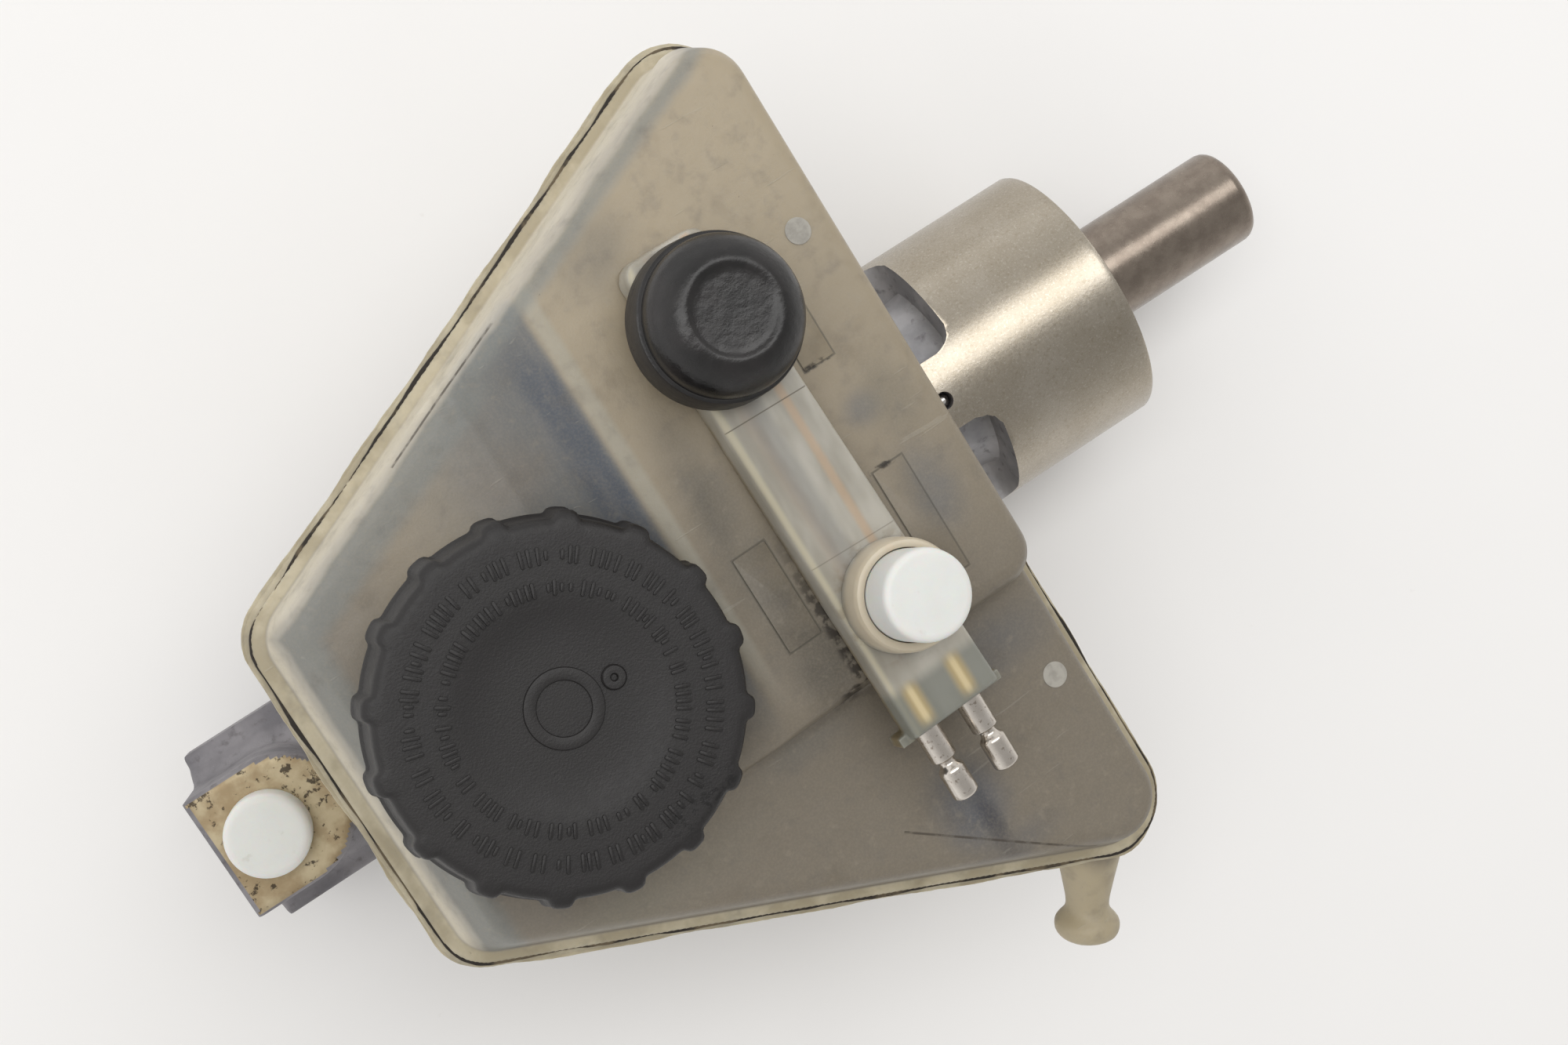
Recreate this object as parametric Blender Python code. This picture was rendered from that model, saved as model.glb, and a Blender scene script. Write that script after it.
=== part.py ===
"""Tandem brake master cylinder with a two-shell fluid reservoir.

Frame: the origin is on the bore axis, in the rear face of the mounting flange. +X runs along
the bore towards the plunger, +Z is up through the outlet boss, and +Y is the cylinder's left.
Sizes below are in millimetres. The reservoir leans: its seam plane has its own frame (u, v, w),
with u towards the plunger, v along +Y and w at right angles to the seam.
"""
import math

import bmesh
import bpy
from mathutils import Vector

MM = 0.001
GAP = 0.3                      # clearance left between neighbouring solids

# Casting
BORE_R = 12.75
BODY_R = 19.0
BODY_FRONT = -161.0
BORE_FRONT = -152.0
BARREL_R = 30.0
BARREL_REAR = 54.0
BARREL_CHAMFER = 0.8
FLANGE_THICK = 12.0
EAR_OFFSET = 44.0
EAR_R = 12.5
STUD_HOLE_R = 4.4
POCKET_LENGTH = 17.5
POCKET_FLOOR_R = 21.0
POCKET_START = math.radians(15.0)
POCKET_END = math.radians(78.0)
SEAL_HOUSING_R = 16.0
SEAL_HOUSING_FRONT = 36.0
CIRCLIP_X = 51.3

# Outlet ports
TOP_PORT_X = -150.0
TOP_PORT_FACE = 30.0
TOP_BOSS_HALF = 13.5
SIDE_PORT_X = -62.0
SIDE_PORT_FACE = 31.0
PORT_R = 5.6
PORT_DEPTH = 15.0
WAY_R = 1.8

# Reservoir seats, pin and stop screw
SEAT_X = (-112.0, -30.0)
SEAT_TOP = 27.0
SEAT_R = 11.5
SPIGOT_R = 8.3
SPIGOT_END = 17.0
LUG_X = -72.0
LUG_Z = 27.0
PIN_R = 2.2
STOP_X = -98.0
STOP_R = 2.0
BALL_R = 1.5
BALL_PLACE = (9.0, -1.2, 27.6)
PLUG_HEAD_R = 8.3              # transit plugs
PLUG_HEAD = 6.2
PLUG_STEM_R = 5.1
PLUG_STEM = 8.0

# Reservoir
SEAM_CENTRE = (-64.0, 0.0, 56.0)
SEAM_LEAN = math.radians(7.5)
SEAM_CORNERS = ((-67.8, 36.0), (-67.8, -36.0), (66.8, -103.3), (66.8, 94.7))
SEAM_RADII = (10.5, 10.5, 12.5, 13.0)
WALL = 2.3
FLANGE_LIP = 3.2
LIP_STEP = 1.2                 # how far the upper lip stands back from the lower
LIP_THICK = 2.1
FLOOR_Z = 34.0
LOW_TIER_W = 12.0
HIGH_TIER_W = 22.0
TIER_FRONT_U = 3.1
TIER_REAR_U = 60.0
TIER_SIDE_V = -30.5
NECK_UV = (-29.8, -1.9)
NECK_R = 26.4
NECK_TOP = 33.0
CAP_R = 31.4
CAP_SKIRT_R = 32.6
CAP_RIB = 1.1
CAP_RIBS = 16
CAP_SKIRT_W = 24.6
CAP_TOP_W = 36.4
NIPPLE_ROOT = (51.0, -90.4, -9.0)
NIPPLE_DROOP = math.radians(16.0)
NIPPLE_LENGTH = 23.2
NIPPLE_BORE_R = 3.0

# Level sensing
BAR_TOP = 27.8
BAR_END_V = (-44.0, 54.8)
BOOT_UV = (28.6, 38.5)
SOCKET_UV = (31.5, -19.8)
SOCKET_PLUG_R = 8.2
RAIL_U = (24.2, 33.8)
TERMINAL_R = 2.55
TERMINAL_W = 23.6
TERMINAL_TIP_V = -58.6

# Pistons and springs
PLUNGER_R = 11.1
PLUNGER_END = 97.5
PUSHROD_SOCKET_R = 5.2
PUSHROD_SOCKET_DEPTH = 24.0
PISTON_R = 12.45
PRIMARY_FRONT = -24.0
SECONDARY = (-112.0, -70.0)
SEAL_R = 12.6
SEAL_INNER_R = 9.6
SEAL_LENGTH = 4.0
HAT_LENGTH = 24.0
HAT_R = 5.2


def material(name, colour, roughness, metallic=0.0):
    mat = bpy.data.materials.new(name)
    mat.use_nodes = True
    shader = mat.node_tree.nodes["Principled BSDF"]
    shader.inputs["Base Color"].default_value = (*colour, 1.0)
    shader.inputs["Roughness"].default_value = roughness
    shader.inputs["Metallic"].default_value = metallic
    return mat


def make_materials():
    return {
        "casting": material("cast_aluminium", (0.20, 0.20, 0.23), 0.55, 0.8),
        "plastic": material("aged_nylon", (0.38, 0.36, 0.27), 0.4),
        "white": material("white_plastic", (0.85, 0.86, 0.86), 0.45),
        "black": material("black_plastic", (0.02, 0.02, 0.02), 0.5),
        "rubber": material("black_rubber", (0.015, 0.015, 0.015), 0.4),
        "bronze": material("bronze_anodised", (0.16, 0.13, 0.11), 0.4, 0.9),
        "steel": material("bright_steel", (0.6, 0.6, 0.6), 0.25, 1.0),
        "spring": material("spring_steel", (0.2, 0.2, 0.21), 0.4, 1.0),
        "brass": material("brass", (0.65, 0.45, 0.2), 0.35, 1.0),
    }


# ---------------------------------------------------------------- shapes

def add_object(name, points, faces, mat, parent=None):
    """A closed mesh object from points in millimetres, with its faces turned outwards."""
    mesh = bpy.data.meshes.new(name)
    mesh.from_pydata([Vector(p) * MM for p in points], [], faces)
    bm = bmesh.new()
    bm.from_mesh(mesh)
    bmesh.ops.recalc_face_normals(bm, faces=bm.faces)
    bm.to_mesh(mesh)
    bm.free()
    mesh.shade_smooth()
    mesh.set_sharp_from_angle(angle=math.radians(32.0))
    if mat:
        mesh.materials.append(mat)
    obj = bpy.data.objects.new(name, mesh)
    obj.parent = parent
    bpy.context.scene.collection.objects.link(obj)
    return obj


def place(obj, location, axis=(0.0, 0.0, 1.0)):
    """Put the object's own Z axis along axis, with its origin at location in millimetres."""
    obj.location = Vector(location) * MM
    obj.rotation_mode = "QUATERNION"
    obj.rotation_quaternion = Vector(axis).to_track_quat("Z", "Y")
    return obj


def bridge(rings, closed):
    """Quads or triangles between neighbouring rings of vertex numbers; a ring of one is a pole."""
    faces = []
    pairs = list(zip(rings, rings[1:]))
    if closed:
        pairs.append((rings[-1], rings[0]))
    for a, b in pairs:
        count = max(len(a), len(b))
        for i in range(count):
            j = (i + 1) % count
            corners = [a[i % len(a)], a[j % len(a)], b[j % len(b)], b[i % len(b)]]
            faces.append(list(dict.fromkeys(corners)))
    return faces


def turned(name, profile, mat, location, axis=(1.0, 0.0, 0.0), parent=None, steps=28, phase=0.0):
    """A turned solid. profile is a list of (distance along the axis, radius); it is closed on
    itself unless both its ends lie on the axis. phase turns the facets by part of a step."""
    points = []
    rings = []
    for h, r in profile:
        count = steps if r > 0.0 else 1
        rings.append(list(range(len(points), len(points) + count)))
        for i in range(count):
            angle = 2.0 * math.pi * (i + phase) / steps
            points.append((r * math.cos(angle), r * math.sin(angle), h))
    solid = profile[0][1] == 0.0 and profile[-1][1] == 0.0
    obj = add_object(name, points, bridge(rings, not solid), mat, parent)
    return place(obj, location, axis)


def rod(name, radius, start, end, mat, parent=None, steps=20):
    """A plain round bar between two points."""
    run = Vector(end) - Vector(start)
    profile = [(0.0, 0.0), (0.0, radius), (run.length, radius), (run.length, 0.0)]
    return turned(name, profile, mat, start, run, parent, steps)


def loft(name, rings, mat, parent=None):
    """A solid through rings of 3-D points, all with the same number of points."""
    count = len(rings[0])
    points = [p for ring in rings for p in ring]
    numbers = [list(range(k * count, (k + 1) * count)) for k in range(len(rings))]
    faces = bridge(numbers, False) + [numbers[0], numbers[-1]]
    return add_object(name, points, faces, mat, parent)


def prism(name, outline, low, high, mat, parent=None):
    rings = [[(x, y, z) for x, y in outline] for z in (low, high)]
    return loft(name, rings, mat, parent)


def box(name, low, high, mat, parent=None):
    outline = [(low[0], low[1]), (high[0], low[1]), (high[0], high[1]), (low[0], high[1])]
    return prism(name, outline, low[2], high[2], mat, parent)


def arc(centre, radius, start, end, steps):
    angles = [start + (end - start) * i / steps for i in range(steps + 1)]
    return [(centre[0] + radius * math.cos(a), centre[1] + radius * math.sin(a)) for a in angles]


def inset(corners, distances):
    """Move each edge of a polygon inwards; edge k runs from corner k to corner k + 1."""
    count = len(corners)
    points = [Vector(c) for c in corners]
    middle = sum(points, Vector((0.0, 0.0))) / count
    lines = []
    for k in range(count):
        run = (points[(k + 1) % count] - points[k]).normalized()
        normal = Vector((-run.y, run.x))
        if normal.dot(middle - points[k]) < 0.0:
            normal = -normal
        lines.append((points[k] + normal * distances[k], run))
    moved = []
    for k in range(count):
        p, r = lines[k - 1]
        q, s = lines[k]
        t = (q - p).cross(s) / r.cross(s)
        moved.append(p + r * t)
    return moved


def rounded(corners, radii, steps=4):
    """A convex polygon with its corners rounded."""
    outline = []
    count = len(corners)
    for k in range(count):
        corner = Vector(corners[k])
        back = (Vector(corners[k - 1]) - corner).normalized()
        ahead = (Vector(corners[(k + 1) % count]) - corner).normalized()
        half = back.angle(ahead) / 2.0
        centre = corner + (back + ahead).normalized() * radii[k] / math.sin(half)
        first = corner + back * radii[k] / math.tan(half) - centre
        last = corner + ahead * radii[k] / math.tan(half) - centre
        sweep = first.angle_signed(last)
        for i in range(steps + 1):
            turn = -sweep * i / steps
            x = first.x * math.cos(turn) - first.y * math.sin(turn)
            y = first.x * math.sin(turn) + first.y * math.cos(turn)
            outline.append((centre.x + x, centre.y + y))
    return outline


def coil(name, mean_r, wire_r, start_x, end_x, turns, mat):
    """A round-wire compression spring along X, as one closed tube."""
    sides = 4
    per_turn = 11
    count = int(turns * per_turn)
    low = start_x + wire_r
    high = end_x - wire_r
    rings = []
    for i in range(count + 1):
        share = i / count
        angle = 2.0 * math.pi * turns * share
        x = low + (high - low) * share
        radial = Vector((0.0, math.cos(angle), math.sin(angle)))
        ring = []
        for k in range(sides):
            a = 2.0 * math.pi * k / sides
            out = radial * (mean_r + wire_r * math.cos(a))
            ring.append((x + wire_r * math.sin(a), out.y, out.z))
        rings.append(ring)
    return loft(name, rings, mat)


def boolean(target, tools, operation):
    """One Boolean pass with all its tools, which are kept hidden in a collection of their own."""
    group = bpy.data.collections.new(target.name + "_" + operation.lower())
    bpy.context.scene.collection.children.link(group)
    for tool in tools:
        bpy.context.scene.collection.objects.unlink(tool)
        group.objects.link(tool)
        tool.hide_render = True
        tool.display_type = "WIRE"
    mod = target.modifiers.new(group.name, "BOOLEAN")
    mod.operation = operation
    mod.solver = "EXACT"
    mod.operand_type = "COLLECTION"
    mod.collection = group


def fuse(target, *tools):
    boolean(target, tools, "UNION")


def cut(target, *tools):
    boolean(target, tools, "DIFFERENCE")


# ---------------------------------------------------------------- casting

def barrel_and_tube(mat):
    """The turned outside of the casting: slim tube in front, wide machined barrel behind."""
    profile = [
        (BODY_FRONT, 0.0),
        (BODY_FRONT, BODY_R - 2.5),
        (BODY_FRONT + 0.8, BODY_R - 0.8),
        (BODY_FRONT + 2.5, BODY_R),
        (-FLANGE_THICK - 5.0, BODY_R),
        (-FLANGE_THICK, BODY_R + 4.0),
        (-1.0, BARREL_R),
        (BARREL_REAR - BARREL_CHAMFER, BARREL_R),
        (BARREL_REAR, BARREL_R - BARREL_CHAMFER),
        (BARREL_REAR, 0.0),
    ]
    return turned("cylinder_body", profile, mat, (0.0, 0.0, 0.0), steps=44, phase=0.5)


def mounting_flange():
    """An oval plate with an ear on each side."""
    corners = []
    lean = math.acos((BARREL_R + 1.0 - EAR_R) / EAR_OFFSET)
    corners += arc((0.0, 0.0), BARREL_R + 1.0, lean, math.pi - lean, 8)
    corners += arc((-EAR_OFFSET, 0.0), EAR_R, math.pi - lean, math.pi + lean, 7)
    corners += arc((0.0, 0.0), BARREL_R + 1.0, math.pi + lean, 2.0 * math.pi - lean, 8)
    corners += arc((EAR_OFFSET, 0.0), EAR_R, -lean, lean, 7)
    rings = [[(x, y, z) for y, z in corners] for x in (-FLANGE_THICK, 0.0)]
    return loft("flange_plate", rings, None)


def pocket_cutter(name, start, end):
    """One relief pocket between two webs, just behind the flange."""
    rings = []
    end_x = POCKET_LENGTH
    for x, shrink in ((-0.4, 0.0), (end_x - 4.0, 0.0), (end_x - 1.2, 0.05), (end_x, 0.15)):
        outer = arc((0.0, 0.0), BARREL_R + 6.0, start + shrink, end - shrink, 5)
        inner = arc((0.0, 0.0), POCKET_FLOOR_R + 12.0 * shrink, end - shrink, start + shrink, 5)
        rings.append([(x + 0.4, y, z) for y, z in outer + inner])
    return loft(name, rings, None)


def pocket_cutters():
    quarter = math.pi / 2.0
    cutters = []
    for side in (0.0, math.pi):
        top = quarter + side
        cutters.append(pocket_cutter("pocket", top - POCKET_END, top - POCKET_START))
        cutters.append(pocket_cutter("pocket", top + POCKET_START, top + POCKET_END))
    return cutters


def bore_cutter():
    profile = [
        (BORE_FRONT - 3.0, 0.0),
        (BORE_FRONT, BORE_R - 3.0),
        (BORE_FRONT, BORE_R),
        (SEAL_HOUSING_FRONT, BORE_R),
        (SEAL_HOUSING_FRONT, SEAL_HOUSING_R),
        (CIRCLIP_X - 1.0, SEAL_HOUSING_R),
        (CIRCLIP_X - 1.0, SEAL_HOUSING_R + 1.4),
        (CIRCLIP_X + 1.0, SEAL_HOUSING_R + 1.4),
        (CIRCLIP_X + 1.0, SEAL_HOUSING_R),
        (BARREL_REAR + 2.0, SEAL_HOUSING_R),
        (BARREL_REAR + 2.0, 0.0),
    ]
    return turned("bore", profile, None, (0.0, 0.0, 0.0), steps=28)


def top_outlet_boss():
    outline = [(BODY_FRONT, -TOP_BOSS_HALF)]
    outline += arc((TOP_PORT_X + 3.0, 0.0), TOP_BOSS_HALF, -math.pi / 2.0, math.pi / 2.0, 10)
    outline.append((BODY_FRONT, TOP_BOSS_HALF))
    return prism("top_boss", outline, 5.0, TOP_PORT_FACE, None)


def side_ribs():
    """Two cast ribs that run along the tube, one on each side of the top outlet."""
    ribs = []
    for side in (-1.0, 1.0):
        low = min(side * 15.5, side * 19.6)
        ribs.append(box("side_rib", (BODY_FRONT + 1.0, low, 2.0), (-20.0, low + 4.1, 9.0), None))
    return ribs


def port_cutters():
    """Threaded port, drilled way into the bore and, at the top port, the matching side port."""
    cutters = []
    faces = ((Vector((TOP_PORT_X, 0.0, 0.0)), Vector((0.0, 0.0, 1.0)), TOP_PORT_FACE),
             (Vector((SIDE_PORT_X, 0.0, 0.0)), Vector((0.0, 1.0, 0.0)), SIDE_PORT_FACE))
    for foot, out, face in faces:
        cutters.append(rod("port", PORT_R, foot + out * (face - PORT_DEPTH), foot + out * (face + 2.0), None))
        cutters.append(rod("way", WAY_R, foot + out * 5.0, foot + out * (face - 10.0), None, steps=16))
    return cutters


def seat_cutters():
    """Grommet seats for the two reservoir spigots, each with a feed hole into the bore."""
    cutters = []
    for x in SEAT_X:
        cutters.append(rod("seat", SEAT_R, (x, 0.0, 15.5), (x, 0.0, SEAT_TOP + 2.0), None))
        cutters.append(rod("feed", 2.2, (x, 0.0, 5.0), (x, 0.0, 16.0), None, steps=16))
    return cutters


def casting_additions():
    parts = [mounting_flange(), top_outlet_boss(), *side_ribs()]
    for x in SEAT_X:
        parts.append(rod("seat_boss", SEAT_R + 3.5, (x, 0.0, 6.0), (x, 0.0, SEAT_TOP), None))
    side_foot = (SIDE_PORT_X, 6.0, 0.0)
    parts.append(rod("side_boss", 12.0, side_foot, (SIDE_PORT_X, SIDE_PORT_FACE, 0.0), None))
    parts.append(box("lug", (LUG_X - 6.0, -4.0, 12.0), (LUG_X + 6.0, 4.0, LUG_Z + 4.5), None))
    parts.append(rod("stop_boss", 6.0, (STOP_X, 0.0, -21.5), (STOP_X, 0.0, -14.0), None, steps=24))
    return parts


def pin_cutters():
    """Holes for the reservoir pin, the stop pin, the ball plug and the two flange studs."""
    cutters = [
        rod("pin_hole", PIN_R + GAP, (LUG_X, -10.0, LUG_Z), (LUG_X, 10.0, LUG_Z), None, steps=16),
        rod("stop_hole", STOP_R + GAP, (STOP_X, 0.0, -25.0), (STOP_X, 0.0, -5.0), None, steps=16),
        rod("ball_hole", BALL_R + 0.4, (*BALL_PLACE[:2], 25.0), (*BALL_PLACE[:2], 33.0), None, steps=20),
    ]
    for y in (-EAR_OFFSET, EAR_OFFSET):
        cutters.append(rod("stud_hole", STUD_HOLE_R, (-14.0, y, 0.0), (2.0, y, 0.0), None, steps=24))
    return cutters


def cylinder_body(mats):
    body = barrel_and_tube(mats["casting"])
    fuse(body, *casting_additions())
    cut(body, bore_cutter(), *pocket_cutters(), *port_cutters(), *seat_cutters(), *pin_cutters())
    return body


def ball_plug(mats):
    steps = 6
    profile = []
    for i in range(steps + 1):
        angle = math.pi * i / steps
        radius = 0.0 if i in (0, steps) else BALL_R * math.sin(angle)
        profile.append((-BALL_R * math.cos(angle), radius))
    turned("ball_plug", profile, mats["steel"], BALL_PLACE, (0.0, 0.0, 1.0), steps=12)


def stop_pin(mats):
    head = 4.2
    profile = [(-24.5, 0.0), (-24.5, head), (-21.8, head), (-21.8, STOP_R), (-4.0, STOP_R), (-4.0, 0.0)]
    turned("stop_pin", profile, mats["steel"], (STOP_X, 0.0, 0.0), (0.0, 0.0, 1.0), steps=20)


def rear_bearing(mats):
    """Seal, guide bush and open circlip that close the back of the bore round the plunger."""
    outer = SEAL_HOUSING_R - GAP
    inner = PLUNGER_R + GAP
    seal = [
        (36.4, inner), (36.4, outer), (41.2, outer), (41.2, outer - 2.2),
        (38.5, outer - 2.2), (38.5, inner + 2.0), (41.2, inner),
    ]
    turned("rear_seal", seal, mats["rubber"], (0.0, 0.0, 0.0), steps=24)
    bush = [(41.6, inner), (41.6, outer), (49.8, outer), (49.8, inner + 1.0), (48.8, inner)]
    turned("rear_guide_bush", bush, mats["black"], (0.0, 0.0, 0.0))
    outline = arc((0.0, 0.0), SEAL_HOUSING_R + 0.9, 0.35, 2.0 * math.pi - 0.35, 20)
    outline += arc((0.0, 0.0), SEAL_HOUSING_R - 2.4, 2.0 * math.pi - 0.35, 0.35, 20)
    rings = [[(x, y, z) for y, z in outline] for x in (CIRCLIP_X - 0.6, CIRCLIP_X + 0.6)]
    loft("rear_circlip", rings, mats["spring"])


def tube_seats(mats):
    """Cone inserts at the bottom of the two outlet ports."""
    profile = [(0.0, 2.2), (0.0, 5.2), (1.5, 5.2), (4.5, 2.6), (4.5, 1.6)]
    top = (TOP_PORT_X, 0.0, TOP_PORT_FACE - PORT_DEPTH + GAP)
    side = (SIDE_PORT_X, SIDE_PORT_FACE - PORT_DEPTH + GAP, 0.0)
    turned("tube_seat_top", profile, mats["brass"], top, (0.0, 0.0, 1.0), steps=16)
    turned("tube_seat_side", profile, mats["brass"], side, (0.0, 1.0, 0.0), steps=16)


def outlet_plugs(mats):
    """Push-in transit plugs: a round head with a rounded edge on a slim stem."""
    profile = [
        (-PLUG_STEM, 0.0), (-PLUG_STEM, PLUG_STEM_R - 0.7), (1.0 - PLUG_STEM, PLUG_STEM_R),
        (GAP, PLUG_STEM_R), (GAP, PLUG_HEAD_R), (PLUG_HEAD - 1.2, PLUG_HEAD_R),
        (PLUG_HEAD - 0.4, PLUG_HEAD_R - 0.4), (PLUG_HEAD, PLUG_HEAD_R - 1.3), (PLUG_HEAD, 0.0),
    ]
    top = (TOP_PORT_X, 0.0, TOP_PORT_FACE)
    side = (SIDE_PORT_X, SIDE_PORT_FACE, 0.0)
    turned("outlet_plug_top", profile, mats["white"], top, (0.0, 0.0, 1.0))
    turned("outlet_plug_side", profile, mats["white"], side, (0.0, 1.0, 0.0))


# ---------------------------------------------------------------- pistons

def seal_profile(front, facing):
    """A cup seal whose open lips face -X (facing = -1) or +X (facing = 1)."""
    cup = [
        (0.0, SEAL_INNER_R), (0.0, SEAL_R - 0.5), (SEAL_LENGTH, SEAL_R),
        (SEAL_LENGTH, SEAL_R - 1.1), (1.8, SEAL_R - 1.4), (SEAL_LENGTH, SEAL_INNER_R),
    ]
    if facing < 0:
        cup = [(SEAL_LENGTH - h, r) for h, r in cup]
    return [(front + h, r) for h, r in cup]


def grooved(name, x_low, x_high, seal_fronts, mat):
    """A plain piston with a square groove for each seal."""
    profile = [(x_low, 0.0), (x_low, PISTON_R - 0.8), (x_low + 0.8, PISTON_R)]
    floor = SEAL_INNER_R - GAP
    for front in sorted(seal_fronts):
        low = front - GAP
        high = front + SEAL_LENGTH + GAP
        profile += [(low, PISTON_R), (low, floor), (high, floor), (high, PISTON_R)]
    profile += [(x_high - 0.8, PISTON_R), (x_high, PISTON_R - 0.8)]
    return turned(name, profile + [(x_high, 0.0)], mat, (0.0, 0.0, 0.0), steps=28)


def primary_piston(mats):
    """The sealed head and the long plunger that stands out of the barrel, with a pushrod socket."""
    seals = (PRIMARY_FRONT + 3.0, PRIMARY_FRONT + 15.0)
    piston = grooved("primary_piston", PRIMARY_FRONT, 0.0, seals, mats["bronze"])
    plunger = [
        (-2.0, 0.0), (-2.0, PLUNGER_R), (PLUNGER_END - 2.0, PLUNGER_R),
        (PLUNGER_END - 0.6, PLUNGER_R - 0.6), (PLUNGER_END, PLUNGER_R - 2.0), (PLUNGER_END, 0.0),
    ]
    fuse(piston, turned("plunger", plunger, None, (0.0, 0.0, 0.0), steps=32, phase=0.5))
    floor = PLUNGER_END - PUSHROD_SOCKET_DEPTH
    mouth = PLUNGER_END + 1.0
    socket = [
        (floor - 4.0, 0.0), (floor, PUSHROD_SOCKET_R), (PLUNGER_END - 1.2, PUSHROD_SOCKET_R),
        (mouth, PUSHROD_SOCKET_R + 2.2), (mouth, 0.0),
    ]
    cut(piston, turned("pushrod_socket", socket, None, (0.0, 0.0, 0.0), steps=28))
    turned("primary_seal_front", seal_profile(seals[0], -1), mats["rubber"], (0.0, 0.0, 0.0), steps=20)
    turned("primary_seal_rear", seal_profile(seals[1], -1), mats["rubber"], (0.0, 0.0, 0.0), steps=20)


def secondary_piston(mats):
    """The floating piston, with the slot that the stop pin runs in."""
    low, high = SECONDARY
    seals = (low + 3.0, high - 7.0)
    piston = grooved("secondary_piston", low, high, seals, mats["bronze"])
    slot = box("stop_slot", (STOP_X - 2.6, -2.5, -20.0), (STOP_X + 18.8, 2.5, -1.0), None)
    cut(piston, slot)
    turned("secondary_seal_front", seal_profile(seals[0], -1), mats["rubber"], (0.0, 0.0, 0.0), steps=20)
    turned("secondary_seal_rear", seal_profile(seals[1], 1), mats["rubber"], (0.0, 0.0, 0.0), steps=20)


def spring_hat_and_screw(mats):
    """The caged-spring parts: a hat on the secondary piston and a headed screw that slides in it."""
    base = SECONDARY[1] + GAP
    crown = base + HAT_LENGTH
    hat = [
        (base, HAT_R - 1.0), (base, 11.2), (base + 1.2, 11.2), (base + 1.2, HAT_R),
        (crown, HAT_R), (crown, 2.5), (crown - 1.2, 2.5), (crown - 1.2, HAT_R - 1.0),
    ]
    turned("spring_hat", hat, mats["steel"], (0.0, 0.0, 0.0), steps=20)
    tip = PRIMARY_FRONT - GAP
    head = base + 18.0
    screw = [
        (head, 0.0), (head, 3.7), (head + 2.5, 3.7), (head + 2.5, 2.1),
        (tip - 2.4, 2.1), (tip - 2.4, 5.0), (tip, 5.0), (tip, 0.0),
    ]
    turned("retainer_screw", screw, mats["steel"], (0.0, 0.0, 0.0), steps=16)


def springs(mats):
    coil("primary_spring", 8.9, 1.3, SECONDARY[1] + 2.0, PRIMARY_FRONT - 0.4, 6.5, mats["spring"])
    low, high = SECONDARY[0] - 1.5, SECONDARY[0] - GAP
    cup = [(low, 0.0), (low, 10.6), (high, 10.6), (high, 0.0)]
    turned("secondary_spring_seat", cup, mats["steel"], (0.0, 0.0, 0.0), steps=28)
    coil("secondary_spring", 8.6, 1.2, BORE_FRONT + 0.4, SECONDARY[0] - 1.9, 5.5, mats["spring"])


# ---------------------------------------------------------------- reservoir

def reservoir_frame():
    """An empty whose Z axis is the normal of the reservoir's seam."""
    frame = bpy.data.objects.new("reservoir_frame", None)
    frame.location = Vector(SEAM_CENTRE) * MM
    frame.rotation_euler = (0.0, SEAM_LEAN, 0.0)
    bpy.context.scene.collection.objects.link(frame)
    return frame


def floor_w(u, height):
    """The w of a level at the given world height in millimetres."""
    return (height - SEAM_CENTRE[2] + u * math.sin(SEAM_LEAN)) / math.cos(SEAM_LEAN)


def seam_outline(front, sides, rear):
    """The seam's trapezoid with each edge moved inwards by its own distance."""
    corners = inset(SEAM_CORNERS, (front, sides, rear, sides))
    shrink = min(front, sides)
    return rounded(corners, [max(r - 0.7 * shrink, 3.0) for r in SEAM_RADII])


def low_tier(name, skin, top, bottom, parent):
    """The upper shell's wide low part; skin is how far it stays inside the outer surface."""
    levels = (
        (bottom, FLANGE_LIP, FLANGE_LIP),
        (LOW_TIER_W - 5.0, 6.4, 4.6),
        (LOW_TIER_W - 1.6, 8.6, 5.6),
        (LOW_TIER_W - 0.4, 9.6, 6.6),
        (LOW_TIER_W, 11.2, 8.2),
    )
    rings = []
    for w, front, side in levels:
        height = w if w == bottom else w - top
        rings.append([(u, v, height) for u, v in seam_outline(front + skin, side + skin, side + skin)])
    return loft(name, rings, None, parent)


def high_tier(name, skin, bottom, parent):
    """The raised part under the contact bar, with a front that slopes down towards the cap."""
    levels = (
        (bottom, 0.0),
        (HIGH_TIER_W - 3.0, 0.0),
        (HIGH_TIER_W - 0.9, 0.7),
        (HIGH_TIER_W - 0.2, 1.8),
        (HIGH_TIER_W, 3.2),
    )
    rings = []
    for w, edge in levels:
        fall = HIGH_TIER_W - w
        side = inset(SEAM_CORNERS, (0.0, 0.0, 0.0, 6.4 - 0.14 * fall + edge + skin))
        left_low, left_high = side[0], side[3]
        slope = (left_high[1] - left_low[1]) / (left_high[0] - left_low[0])
        front = TIER_FRONT_U - 1.7 * fall + edge * 0.6 + skin
        rear = TIER_REAR_U + 0.17 * fall + 1.0 - edge - skin
        near = TIER_SIDE_V - 0.2 * fall - 1.0 + edge + skin
        corners = [
            (front, near),
            (rear, near),
            (rear, left_low[1] + slope * (rear - left_low[0])),
            (front, left_low[1] + slope * (front - left_low[0])),
        ]
        radii = [max(r - 0.5 * skin, 1.5) for r in (3.0, 6.5, 8.0, 6.0)]
        rings.append([(u, v, w - skin if w > bottom else w) for u, v in rounded(corners, radii)])
    return loft(name, rings, None, parent)


def lip(name, low, high, back, mat, parent):
    return prism(name, seam_outline(back, back, back), low, high, mat, parent)


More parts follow.
